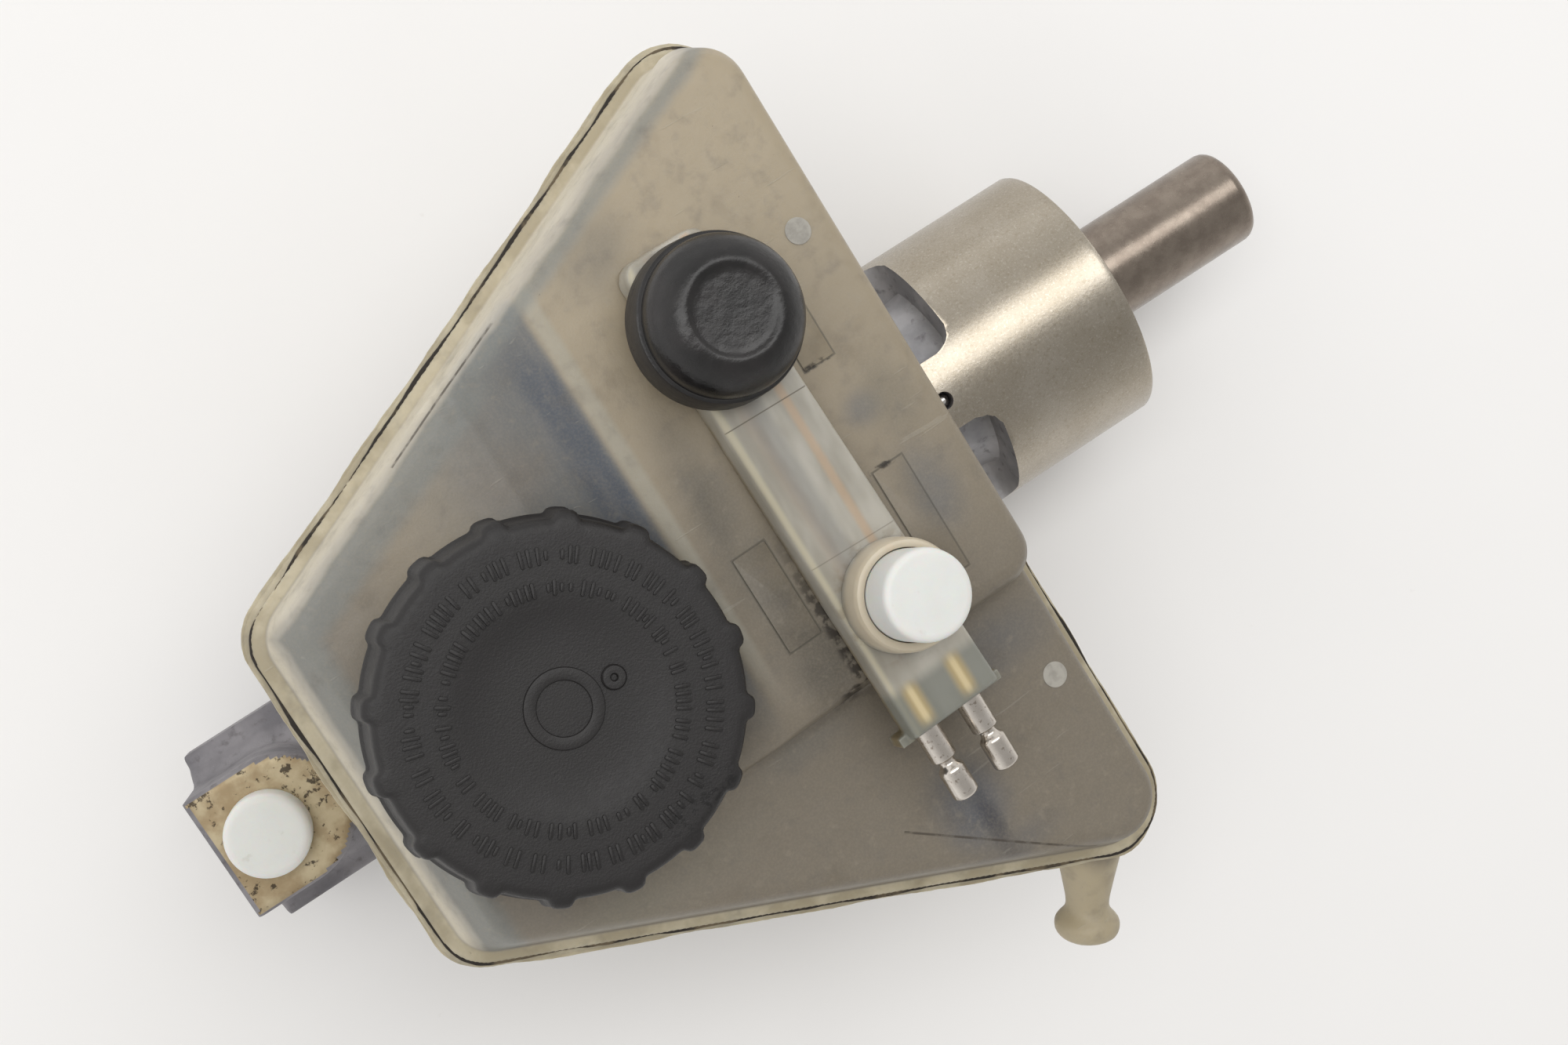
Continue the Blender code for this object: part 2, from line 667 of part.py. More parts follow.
def neck_thread(parent):
    """A raised single-start thread of a turn and a half round the filler neck."""
    sides = ((-0.4, -1.0), (0.7, -0.3), (0.7, 0.3), (-0.4, 1.0))
    rings = []
    steps = 40
    for i in range(steps + 1):
        share = i / steps
        angle = 3.0 * math.pi * share
        w = NECK_TOP - 8.6 + 5.0 * 1.5 * share - 0.8
        ring = []
        for out, up in sides:
            r = NECK_R + out
            ring.append((NECK_UV[0] + r * math.cos(angle), NECK_UV[1] + r * math.sin(angle), w + up))
        rings.append(ring)
    return loft("neck_thread", rings, None, parent)


def upper_shell(mats, frame):
    shell = lip("reservoir_upper_shell", GAP / 2.0, LIP_THICK, LIP_STEP, mats["plastic"], frame)
    centre = (*NECK_UV, 0.0)
    up = (0.0, 0.0, 1.0)
    top = NECK_TOP
    neck = [(8.0, 0.0), (8.0, NECK_R), (top - 0.6, NECK_R), (top, NECK_R - 0.6), (top, 0.0)]
    inside = NECK_R - WALL
    mouth = [(-6.0, 0.0), (-6.0, inside), (top + 3.0, inside), (top + 3.0, 0.0)]
    fuse(
        shell,
        low_tier("low_form", 0.0, 0.0, 1.0, frame),
        high_tier("high_form", 0.0, 6.0, frame),
        turned("neck", neck, None, centre, up, frame, 40),
        neck_thread(frame),
    )
    cut(
        shell,
        low_tier("low_hollow", WALL, WALL, -4.0, frame),
        high_tier("high_hollow", WALL, 6.0, frame),
        turned("mouth", mouth, None, centre, up, frame, 36),
        rod("button_hole", 2.6, (*BOOT_UV, 15.0), (*BOOT_UV, 26.0), None, frame, 16),
    )
    return shell


def tub(name, skin, top, floor_height, mat, parent):
    """The lower shell's deep form, whose floor is parallel to the bore."""
    rim = FLANGE_LIP + skin
    rings = [[(u, v, top) for u, v in seam_outline(rim, rim, rim)]]
    for rise, edge in ((4.0, 5.4), (1.2, 6.4), (0.0, 9.0)):
        back = edge + skin
        outline = seam_outline(back, back, back)
        rings.append([(u, v, floor_w(u, floor_height) + rise) for u, v in outline])
    return loft(name, rings, mat, parent)


def nipple_direction():
    """Along the outward normal of the seam's -Y edge, drooping below it."""
    near, far = (Vector(SEAM_CORNERS[k]) for k in (1, 2))
    run = (far - near).normalized()
    level = Vector((run.y, -run.x, 0.0))
    return level * math.cos(NIPPLE_DROOP) - Vector((0.0, 0.0, 1.0)) * math.sin(NIPPLE_DROOP)


def nipple_solid(frame):
    profile = [
        (-5.0, 0.0), (-5.0, 6.9), (3.0, 6.9), (10.0, 5.4), (15.0, 4.5), (17.2, 4.6), (18.8, 6.2),
        (20.4, 6.8), (22.0, 6.4), (NIPPLE_LENGTH, 5.2), (NIPPLE_LENGTH, 0.0),
    ]
    return turned("nipple", profile, None, NIPPLE_ROOT, nipple_direction(), frame, 28)


def spigots_and_fork():
    """Two spigots for the casting's grommets, and the fork that the cross pin holds down."""
    parts = []
    for x in SEAT_X:
        parts.append(rod("spigot", SPIGOT_R, (x, 0.0, SPIGOT_END), (x, 0.0, FLOOR_Z + 1.5), None))
    for low in (-9.0, 4.5):
        corner = (LUG_X + 6.0, low + 4.5, FLOOR_Z + 1.0)
        parts.append(box("fork", (LUG_X - 6.0, low, LUG_Z - 4.5), corner, None))
    return parts


def lower_shell_cutters(frame):
    start = Vector(NIPPLE_ROOT) - nipple_direction() * 9.0
    end = Vector(NIPPLE_ROOT) + nipple_direction() * (NIPPLE_LENGTH + 2.0)
    cutters = [
        tub("tub_hollow", WALL, 3.0, FLOOR_Z + WALL, None, frame),
        rod("fork_hole", PIN_R + GAP, (LUG_X, -12.0, LUG_Z), (LUG_X, 12.0, LUG_Z), None, steps=16),
        rod("nipple_bore", NIPPLE_BORE_R, start, end, None, frame, 16),
    ]
    for x in SEAT_X:
        low = (x, 0.0, SPIGOT_END - 2.0)
        cutters.append(rod("spigot_bore", SPIGOT_R - WALL, low, (x, 0.0, FLOOR_Z + 6.0), None, steps=24))
    return cutters


def lower_shell(mats, frame):
    shell = lip("reservoir_lower_shell", -LIP_THICK, -GAP / 2.0, 0.0, mats["plastic"], frame)
    form = tub("tub_form", 0.0, -1.0, FLOOR_Z, None, frame)
    fuse(shell, form, nipple_solid(frame), *spigots_and_fork())
    cut(shell, *lower_shell_cutters(frame))
    return shell


def grommets(mats):
    profile = [
        (16.0, SPIGOT_R + GAP), (16.0, SEAT_R - GAP),
        (SEAT_TOP + GAP, SEAT_R - GAP), (SEAT_TOP + GAP, SEAT_R + 2.6),
        (SEAT_TOP + 2.6, SEAT_R + 2.0), (SEAT_TOP + 3.4, SEAT_R), (SEAT_TOP + 3.4, SPIGOT_R + GAP),
    ]
    for name, x in zip(("grommet_front", "grommet_rear"), SEAT_X):
        turned(name, profile, mats["rubber"], (x, 0.0, 0.0), (0.0, 0.0, 1.0), steps=24)


def reservoir_pin(mats):
    rod("reservoir_pin", PIN_R, (LUG_X, -12.5, LUG_Z), (LUG_X, 12.5, LUG_Z), mats["steel"], None, 20)


def strainer(mats, frame):
    """A slotted basket that hangs in the filler neck."""
    outer = NECK_R - WALL - GAP
    profile = [
        (2.0, 0.0), (2.0, outer - 1.0), (20.0, outer),
        (20.0, outer - 1.4), (3.4, outer - 2.4), (3.4, 0.0),
    ]
    basket = turned("strainer", profile, mats["white"], (*NECK_UV, 0.0), (0.0, 0.0, 1.0), frame, 24)
    slots = []
    for k in range(4):
        reach = outer + 2.0
        slot = box("strainer_slot", (-reach, -2.4, 6.0 + 0.2 * k), (reach, 2.4, 16.0), None, frame)
        slot.location = Vector((*NECK_UV, 0.0)) * MM
        slot.rotation_euler = (0.0, 0.0, math.pi * (k + 0.1) / 4.0)
        slots.append(slot)
    cut(basket, *slots)


def rib_height(angle):
    """How far the cap's outline stands out at an angle: a rounded lobe once per rib."""
    pitch = 2.0 * math.pi / CAP_RIBS
    place_in_pitch = (angle / pitch) % 1.0 - 0.5
    return max(0.0, 1.0 - (place_in_pitch / 0.19) ** 4)


def filler_cap(mats, frame):
    """A ribbed screw cap: plain dished top and a skirt with grip ribs."""
    steps = CAP_RIBS * 5
    low, high = CAP_SKIRT_W, CAP_TOP_W
    outside = (
        (low, CAP_SKIRT_R, 1.0), (low + 1.2, CAP_SKIRT_R, 1.0), (high - 1.6, CAP_R + 0.2, 1.3),
        (high - 0.4, CAP_R - 0.4, 1.1), (high, CAP_R - 1.6, 0.0),
    )
    top = [(high, CAP_R - 3.4), (high - 0.4, 17.6), (high - 1.1, 12.0), (high - 1.1, 0.0)]
    under = [(high - 2.4, 0.0), (high - 2.4, NECK_R + 1.6), (low, NECK_R + 1.6)]
    points = []
    rings = []
    for w, r, rib in outside:
        rings.append(list(range(len(points), len(points) + steps)))
        for i in range(steps):
            angle = 2.0 * math.pi * i / steps
            reach = r + rib * CAP_RIB * rib_height(angle)
            points.append((reach * math.cos(angle), reach * math.sin(angle), w))
    cap = add_object("filler_cap", *ringed(points, rings, top + under, steps), mats["black"], frame)
    return place(cap, (*NECK_UV, 0.0))


def ringed(points, rings, profile, steps):
    """Carry on a lofted ring stack with plain round rings, and close it on its first ring."""
    for h, r in profile:
        count = steps if r > 0.0 else 1
        rings.append(list(range(len(points), len(points) + count)))
        for i in range(count):
            angle = 2.0 * math.pi * i / steps
            points.append((r * math.cos(angle), r * math.sin(angle), h))
    breaks = [k for k in range(len(rings) - 1) if len(rings[k]) == 1 and len(rings[k + 1]) == 1]
    faces = []
    start = 0
    for k in breaks:
        faces += bridge(rings[start:k + 1], False)
        start = k + 1
    faces += bridge(rings[start:] + [rings[0]], False)
    return points, faces


def cap_diaphragm(mats, frame):
    """The rubber bellows that seals the neck under the cap."""
    top = NECK_TOP + 1.0
    profile = [
        (NECK_TOP + GAP, NECK_R), (top - 0.1, NECK_R), (top - 0.1, 20.0),
        (23.6, 18.0), (23.6, 8.0), (28.0, 6.5), (28.0, 0.0),
        (26.8, 0.0), (26.8, 7.4), (22.4, 7.4), (22.4, 19.2), (NECK_TOP + GAP, 21.4),
    ]
    points, faces = ringed([], [], profile, 24)
    diaphragm = add_object("cap_diaphragm", points, faces, mats["rubber"], frame)
    return place(diaphragm, (*NECK_UV, 0.0))


# ---------------------------------------------------------------- level sensing

def bar_outline(skin):
    corners = [(20.2, BAR_END_V[0]), (40.2, BAR_END_V[0]), (37.4, BAR_END_V[1]), (19.4, BAR_END_V[1])]
    return rounded(inset(corners, (skin,) * 4), [max(r - skin, 0.6) for r in (0.8, 0.8, 3.6, 3.6)], 4)


def contact_bar(mats, frame):
    """The moulded bar over the contacts: hollow over the tank, solid where it holds the pins."""
    base = HIGH_TIER_W + GAP
    end = BAR_END_V[0]
    levels = ((base, 0.0), (BAR_TOP - 1.2, 0.3), (BAR_TOP - 0.3, 0.7), (BAR_TOP, 1.6))
    rings = [[(u, v, w) for u, v in bar_outline(edge)] for w, edge in levels]
    bar = loft("contact_bar", rings, mats["plastic"], frame)
    nose = box("bar_nose", (21.0, end + 0.6, 19.0), (39.4, TIER_SIDE_V - 5.0, base + 2.0), None, frame)
    ears = box("bar_ears", (18.6, end - 0.4, 18.6), (41.6, end + 1.6, 24.0), None, frame)
    fuse(bar, nose, ears)
    low = (22.0, TIER_SIDE_V - 1.9, base - 2.0)
    cutters = [box("bar_hollow", low, (36.0, BAR_END_V[1] - 2.4, BAR_TOP - 1.5), None, frame)]
    for u in RAIL_U:
        start = (u, TIER_SIDE_V + 1.0, TERMINAL_W)
        stop = (u, end - 4.0, TERMINAL_W)
        cutters.append(rod("pin_bore", TERMINAL_R + GAP, start, stop, None, frame, 16))
    cutters.append(rod("stem_hole", 2.6, (*BOOT_UV, 22.0), (*BOOT_UV, 32.0), None, frame, 16))
    cut(bar, *cutters)
    return bar


def contact_rails(mats, frame):
    for name, u in zip(("contact_rail_front", "contact_rail_rear"), RAIL_U):
        low = (u - 1.6, TIER_SIDE_V - 1.4, TERMINAL_W - 0.5)
        box(name, low, (u + 1.6, BOOT_UV[1] + 8.0, TERMINAL_W + 0.7), mats["brass"], frame)


def terminal_pins(mats, frame):
    """Round plated pins with a waisted groove and a rounded tip."""
    length = TIER_SIDE_V - 2.0 - TERMINAL_TIP_V
    r = TERMINAL_R
    profile = [
        (0.0, 0.0), (0.0, r), (length - 8.6, r), (length - 8.1, r - 0.7), (length - 7.1, r - 0.7),
        (length - 6.6, r), (length - 1.5, r), (length - 0.4, r - 0.7), (length, r - 1.6), (length, 0.0),
    ]
    for name, u in zip(("terminal_pin_front", "terminal_pin_rear"), RAIL_U):
        start = (u, TIER_SIDE_V - 2.0, TERMINAL_W)
        turned(name, profile, mats["steel"], start, (0.0, -1.0, 0.0), frame, 16)


def test_boot(mats, frame):
    """A domed rubber boot with a plain skirt and a recessed flat top, open underneath."""
    base = BAR_TOP + GAP
    outside = [
        (0.0, 15.1), (1.0, 15.3), (7.6, 14.9), (8.4, 14.2), (10.4, 14.0), (13.2, 12.6), (15.2, 10.2),
        (16.2, 8.6), (15.7, 7.6), (15.6, 0.0),
    ]
    inside = [(13.6, 0.0), (13.6, 8.4), (11.4, 11.4), (8.0, 12.8), (0.0, 13.2)]
    points, faces = ringed([], [], [(base + h, r) for h, r in outside + inside], 28)
    boot = add_object("test_boot", points, faces, mats["rubber"], frame)
    return place(boot, (*BOOT_UV, 0.0))


def test_button(mats, frame):
    """The button under the boot: a disc on a stem that reaches down to the float."""
    base = BAR_TOP
    profile = [
        (16.4, 0.0), (16.4, 2.2), (base + 7.6, 2.2), (base + 7.6, 8.0),
        (base + 10.4, 8.0), (base + 11.0, 7.4), (base + 11.0, 0.0),
    ]
    turned("test_button", profile, mats["white"], (*BOOT_UV, 0.0), (0.0, 0.0, 1.0), frame, 28)
    start = Vector((*BOOT_UV, base + 0.4))
    spring = coil("test_spring", 4.2, 0.5, 0.0, 6.8, 4.0, mats["spring"])
    spring.parent = frame
    spring.location = start * MM
    spring.rotation_euler = (0.0, -math.pi / 2.0, 0.0)


def socket(mats, frame):
    """The second station: a plain collar with its transit plug."""
    base = BAR_TOP + GAP
    ring = [(base, 8.7), (base, 10.4), (base + 5.4, 10.2), (base + 6.4, 9.6), (base + 6.4, 8.9)]
    turned("socket_collar", ring, mats["plastic"], (*SOCKET_UV, 0.0), (0.0, 0.0, 1.0), frame, 32)
    low, high, r = base + 0.4, base + 15.8, SOCKET_PLUG_R
    plug = [
        (low, 0.0), (low, r - 0.8), (low + 1.6, r), (high - 1.2, r),
        (high - 0.4, r - 0.3), (high, r - 1.0), (high, 0.0),
    ]
    turned("socket_plug", plug, mats["white"], (*SOCKET_UV, 0.0), (0.0, 0.0, 1.0), frame, 32)


def level_floats(mats, frame):
    """Two guide tubes under the roof, each with a float that rides up and down inside it."""
    for label, (u, v) in (("test", BOOT_UV), ("socket", SOCKET_UV)):
        top = HIGH_TIER_W - WALL - GAP
        guide = [(-13.0, 6.8), (-13.0, 7.8), (top, 7.8), (top, 6.8)]
        turned("level_guide_" + label, guide, mats["white"], (u, v, 0.0), (0.0, 0.0, 1.0), frame, 20)
        body = [(-12.4, 0.0), (-12.4, 5.6), (-11.8, 6.2), (-1.6, 6.2), (-1.0, 5.6), (-1.0, 0.0)]
        turned("level_float_" + label, body, mats["black"], (u, v, 0.0), (0.0, 0.0, 1.0), frame, 20)


def main():
    for obj in list(bpy.data.objects):
        bpy.data.objects.remove(obj, do_unlink=True)
    mats = make_materials()
    frame = reservoir_frame()
    cylinder_body(mats)
    ball_plug(mats)
    stop_pin(mats)
    rear_bearing(mats)
    tube_seats(mats)
    outlet_plugs(mats)
    primary_piston(mats)
    secondary_piston(mats)
    spring_hat_and_screw(mats)
    springs(mats)
    upper_shell(mats, frame)
    lower_shell(mats, frame)
    grommets(mats)
    reservoir_pin(mats)
    strainer(mats, frame)
    filler_cap(mats, frame)
    cap_diaphragm(mats, frame)
    contact_bar(mats, frame)
    contact_rails(mats, frame)
    terminal_pins(mats, frame)
    test_boot(mats, frame)
    test_button(mats, frame)
    socket(mats, frame)
    level_floats(mats, frame)


main()
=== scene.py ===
"""The looks of a tandem brake master cylinder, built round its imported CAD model.

Lengths are in millimetres. Pieces of the reservoir are modelled in the seam's own frame
(u towards the plunger, v along +Y, w at right angles to the seam), the others in the CAD frame.
"""
import math
import random

import bmesh
import bpy
from mathutils import Matrix, Vector, noise


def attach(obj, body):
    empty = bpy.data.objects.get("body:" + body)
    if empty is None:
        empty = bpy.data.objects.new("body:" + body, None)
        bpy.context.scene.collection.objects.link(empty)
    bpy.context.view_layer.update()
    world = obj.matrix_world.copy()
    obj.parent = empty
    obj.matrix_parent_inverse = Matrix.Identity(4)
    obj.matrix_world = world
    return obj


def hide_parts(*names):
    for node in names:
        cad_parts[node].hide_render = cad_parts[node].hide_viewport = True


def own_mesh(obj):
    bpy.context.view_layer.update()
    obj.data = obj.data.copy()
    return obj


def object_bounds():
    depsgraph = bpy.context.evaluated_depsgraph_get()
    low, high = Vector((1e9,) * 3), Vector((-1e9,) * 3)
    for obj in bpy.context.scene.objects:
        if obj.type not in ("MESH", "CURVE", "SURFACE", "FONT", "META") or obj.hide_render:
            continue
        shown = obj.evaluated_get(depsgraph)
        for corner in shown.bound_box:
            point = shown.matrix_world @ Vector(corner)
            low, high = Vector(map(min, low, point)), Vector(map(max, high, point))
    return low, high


MM = 0.001
GAP = 0.3

# Casting
BORE_R = 12.75
BODY_R = 19.0
BODY_FRONT = -161.0
BARREL_R = 30.0
BARREL_REAR = 54.0
BARREL_ROWS = 36
FLANGE_THICK = 12.0
EAR_OFFSET = 44.0
EAR_R = 12.5
STUD_HOLE_R = 4.4
POCKET_LENGTH = 17.5
POCKET_FLOOR_R = 21.0
POCKET_START = math.radians(15.0)
POCKET_END = math.radians(78.0)
SEAL_HOUSING_R = 16.0
SEAL_HOUSING_FRONT = 36.0
CIRCLIP_X = 51.3
BALL = (9.0, -1.2, 27.6)
TOP_PORT_X = -150.0
TOP_PORT_FACE = 30.0
TOP_BOSS_HALF = 13.5
SIDE_PORT_X = -62.0
SIDE_PORT_FACE = 31.0
PORT_R = 5.6
PORT_DEPTH = 15.0
SEAT_X = (-112.0, -30.0)
SEAT_TOP = 27.0
SEAT_R = 11.5
SPIGOT_R = 8.3
SPIGOT_END = 17.0
LUG_X = -72.0
LUG_Z = 27.0
PIN_R = 2.2
STOP_X = -98.0
BORE_FRONT = -152.0
PRIMARY_FRONT = -24.0
SECONDARY_X = (-112.0, -70.0)
PRIMARY_STROKE = 32.0
SECONDARY_STROKE = 16.2
BUTTON_SPRING_LENGTH = 6.8

# Reservoir
SEAM_CENTRE = (-64.0, 0.0, 56.0)
SEAM_LEAN = math.radians(7.5)
SEAM_CORNERS = ((-67.8, 36.0), (-67.8, -36.0), (66.8, -103.3), (66.8, 94.7))
SEAM_RADII = (10.5, 10.5, 12.5, 13.0)
WALL = 2.3
FLANGE_LIP = 3.2
LIP_STEP = 1.2
LIP_THICK = 2.1
FLOOR_Z = 34.0
LOW_TIER_W = 12.0
HIGH_TIER_W = 22.0
TIER_FRONT_U = 3.1
TIER_REAR_U = 60.0
TIER_SIDE_V = -30.5
NECK_UV = (-29.8, -1.9)
NECK_R = 26.4
NECK_TOP = 33.0
THREAD_PITCH = 5.0
THREAD_TURNS = 1.5
CAP_R = 31.4
CAP_SKIRT_R = 32.6
CAP_RIB = 1.1
CAP_RIBS = 16
CAP_SKIRT_W = 24.6
CAP_TOP_W = 36.4
NIPPLE_ROOT = (51.0, -90.4, -9.0)
NIPPLE_DROOP = math.radians(16.0)
NIPPLE_LENGTH = 23.2
NIPPLE_BORE_R = 3.0

# Level sensing
BAR_TOP = 27.8
BAR_END_V = (-44.0, 54.8)
BOOT_UV = (28.6, 38.5)
SOCKET_UV = (31.5, -19.8)
RAIL_U = (24.2, 33.8)
TERMINAL_R = 2.55
TERMINAL_W = 23.6
TERMINAL_TIP_V = -58.6
PADS = (((10.6, -18.6), (17.6, 1.0)), ((40.6, 22.0), (47.2, 40.0)), ((41.4, -24.0), (48.2, 0.0)))
ROUND_MARKS = ((53.5, 44.0, 22.0), (54.9, -53.4, 12.0))

# Painted shade on the aged plastic, darker where its hollows show through: middle and size in (u, v, w),
# sRGB tone, amount
NYLON_SHADE_PATCHES = (
    ((-14.0, 34.0, 14.0), (12.0, 9.0, 9.0), (126, 118, 108), 0.6),
    ((27.0, -64.0, 11.0), (11.0, 15.0, 8.0), (84, 88, 96), 0.85),
    ((18.0, 60.0, 22.0), (14.0, 12.0, 8.0), (118, 112, 100), 0.7),
    ((33.0, -76.0, 11.0), (12.0, 5.0, 8.0), (84, 86, 92), 0.5),
    ((46.0, -42.0, 12.0), (22.0, 9.0, 12.0), (88, 92, 98), 0.55),
    ((13.0, 4.0, 22.0), (9.0, 34.0, 8.0), (80, 77, 70), 0.85),
    ((15.0, -22.0, 22.0), (10.0, 16.0, 8.0), (76, 72, 64), 0.8),
    ((50.0, -8.0, 20.0), (8.0, 13.0, 8.0), (92, 98, 106), 0.7),
    ((46.4, 11.0, 22.0), (6.0, 5.0, 6.0), (92, 98, 106), 0.5),
    ((29.0, -70.0, 11.0), (3.4, 12.0, 8.0), (52, 52, 58), 0.7),
    ((52.0, 10.0, 22.0), (7.0, 12.0, 8.0), (116, 110, 96), 0.5),
    ((-30.0, -42.0, 11.0), (34.0, 9.0, 9.0), (122, 118, 104), 0.5),
    ((6.0, -36.0, 10.0), (16.0, 5.0, 10.0), (104, 102, 96), 0.5),
)

# Plunger
PLUNGER_R = 11.1
PLUNGER_END = 97.5

# Light and camera; lengths of the softbox are in metres
SKY_BRIGHTENS = (-0.3, 0.4, -0.87)
SKY_RANGE = (-0.9, 0.45)
SKY_DARK = (0.45, 0.444, 0.436)
SKY_LIGHT = (1.29, 1.281, 1.268)
SOFTBOX_SIZE = (1.7, 0.5)
SOFTBOX_WATTS = 7.0
SOFTBOX_COLOUR = (1.0, 0.995, 0.985)
SOFTBOX_PLACE = (0.22, 0.28, 1.1)
SOFTBOX_TILT = -0.25
CAMERA_PLACE = (-84.387, 44.054, 404.671)
CAMERA_LOOK = (0.1357, -0.1266, -0.9826)
CAMERA_RIGHT = (0.8310, -0.5256, 0.1825)
CAMERA_LENS = 43.2

SEAM = Matrix.Translation(Vector(SEAM_CENTRE) * MM) @ Matrix.Rotation(SEAM_LEAN, 4, "Y")


# ---------------------------------------------------------------- shapes

def add_object(name, points, faces):
    """A closed mesh object from points in millimetres, with its faces turned outwards."""
    mesh = bpy.data.meshes.new(name)
    mesh.from_pydata([Vector(p) * MM for p in points], [], faces)
    bm = bmesh.new()
    bm.from_mesh(mesh)
    bmesh.ops.recalc_face_normals(bm, faces=bm.faces)
    bm.to_mesh(mesh)
    bm.free()
    mesh.shade_smooth()
    mesh.set_sharp_from_angle(angle=math.radians(35.0))
    obj = bpy.data.objects.new(name, mesh)
    bpy.context.scene.collection.objects.link(obj)
    return obj


def bridge(rings, closed):
    """Faces between neighbouring rings of vertex numbers; a ring of one is a pole."""
    faces = []
    pairs = list(zip(rings, rings[1:]))
    if closed:
        pairs.append((rings[-1], rings[0]))
    for a, b in pairs:
        count = max(len(a), len(b))
        if count == 1:
            continue
        for i in range(count):
            j = (i + 1) % count
            corners = [a[i % len(a)], a[j % len(a)], b[j % len(b)], b[i % len(b)]]
            faces.append(list(dict.fromkeys(corners)))
    return faces


def turned(name, profile, centre, axis=(0.0, 0.0, 1.0), steps=96, shape=None):
    """A turned solid from (distance along the axis, radius) pairs. It is closed on itself unless
    both ends lie on the axis. shape(distance, radius, angle) may change a point's radius."""
    turn = Vector(axis).to_track_quat("Z", "Y")
    points = []
    rings = []
    for h, r in profile:
        count = steps if r > 0.0 else 1
        rings.append(list(range(len(points), len(points) + count)))
        for i in range(count):
            angle = 2.0 * math.pi * i / steps
            reach = shape(h, r, angle) if shape and r > 0.0 else r
            local = Vector((reach * math.cos(angle), reach * math.sin(angle), h))
            points.append(Vector(centre) + turn @ local)
    solid = profile[0][1] == 0.0 and profile[-1][1] == 0.0
    return add_object(name, points, bridge(rings, not solid))


def rod(name, radius, start, end, steps=48):
    """A plain round bar between two points."""
    run = Vector(end) - Vector(start)
    profile = [(0.0, 0.0), (0.0, radius), (run.length, radius), (run.length, 0.0)]
    return turned(name, profile, start, run, steps)


def loft(name, rings):
    """A solid through rings of 3-D points, all with the same number of points."""
    count = len(rings[0])
    points = [p for ring in rings for p in ring]
    numbers = [list(range(k * count, (k + 1) * count)) for k in range(len(rings))]
    return add_object(name, points, bridge(numbers, False) + [numbers[0], numbers[-1]])


def prism(name, outline, low, high):
    """A plate with the given outline in (x, y), from low to high."""
    return loft(name, [[(x, y, z) for x, y in outline] for z in (low, high)])


def box(name, low, high):
    outline = [(low[0], low[1]), (high[0], low[1]), (high[0], high[1]), (low[0], high[1])]
    return prism(name, outline, low[2], high[2])


def arc(centre, radius, start, end, steps):
    angles = [start + (end - start) * i / steps for i in range(steps + 1)]
    return [(centre[0] + radius * math.cos(a), centre[1] + radius * math.sin(a)) for a in angles]


def eased(profile, share, passes):
    """A profile with its inner corners cut again and again, so that they become round."""
    for _ in range(passes):
        points = [profile[0]]
        for a, b in zip(profile, profile[1:]):
            for t in (share, 1.0 - share):
                points.append((a[0] + (b[0] - a[0]) * t, a[1] + (b[1] - a[1]) * t))
        points.append(profile[-1])
        profile = points
    return [p for k, p in enumerate(profile) if k == 0 or k == len(profile) - 1 or p[1] > 0.0]


def inset(corners, distances):
    """Move each edge of a polygon inwards; edge k runs from corner k to corner k + 1."""
    count = len(corners)
    points = [Vector(c) for c in corners]
    middle = sum(points, Vector((0.0, 0.0))) / count
    lines = []
    for k in range(count):
        run = (points[(k + 1) % count] - points[k]).normalized()
        normal = Vector((-run.y, run.x))
        if normal.dot(middle - points[k]) < 0.0:
            normal = -normal
        lines.append((points[k] + normal * distances[k], run))
    moved = []
    for k in range(count):
        p, r = lines[k - 1]
        q, s = lines[k]
        t = (q - p).cross(s) / r.cross(s)
        moved.append(p + r * t)
    return moved


def rounded(corners, radii, steps=14):
    """A convex polygon with its corners rounded."""
    outline = []
    count = len(corners)
    for k in range(count):
        corner = Vector(corners[k])
        back = (Vector(corners[k - 1]) - corner).normalized()
        ahead = (Vector(corners[(k + 1) % count]) - corner).normalized()
        half = back.angle(ahead) / 2.0
        centre = corner + (back + ahead).normalized() * radii[k] / math.sin(half)
        first = corner + back * radii[k] / math.tan(half) - centre
        last = corner + ahead * radii[k] / math.tan(half) - centre
        sweep = first.angle_signed(last)
        for i in range(steps + 1):
            turn = -sweep * i / steps
            x = first.x * math.cos(turn) - first.y * math.sin(turn)
            y = first.x * math.sin(turn) + first.y * math.cos(turn)
            outline.append((centre.x + x, centre.y + y))
    return outline


def apply_modifiers(obj):
    """Keep the object's evaluated mesh as its own, with no modifier left."""
    depsgraph = bpy.context.evaluated_depsgraph_get()
    mesh = bpy.data.meshes.new_from_object(obj.evaluated_get(depsgraph))
    obj.modifiers.clear()
    obj.data = mesh


def combine(target, tools, operation):
    """One applied Boolean pass, after which its tools are removed."""
    group = bpy.data.collections.new(target.name + "_tools")
    bpy.context.scene.collection.children.link(group)
    for tool in tools:
        bpy.context.scene.collection.objects.unlink(tool)
        group.objects.link(tool)
    mod = target.modifiers.new("combine", "BOOLEAN")
    mod.operation = operation
    mod.solver = "EXACT"
    mod.operand_type = "COLLECTION"
    mod.collection = group
    mod.material_mode = "TRANSFER"
    apply_modifiers(target)
    for tool in tools:
        bpy.data.objects.remove(tool)
    bpy.data.collections.remove(group)
    return target


def soften(obj, voxel, passes):
    """Remesh a solid evenly and relax it, which rounds its edges as moulding or casting does."""
    mesh = obj.modifiers.new("even", "REMESH")
    mesh.mode = "VOXEL"
    mesh.voxel_size = voxel * MM
    relax = obj.modifiers.new("relax", "SMOOTH")
    relax.factor = 0.5
    relax.iterations = passes
    apply_modifiers(obj)
    obj.data.shade_smooth()
    return obj


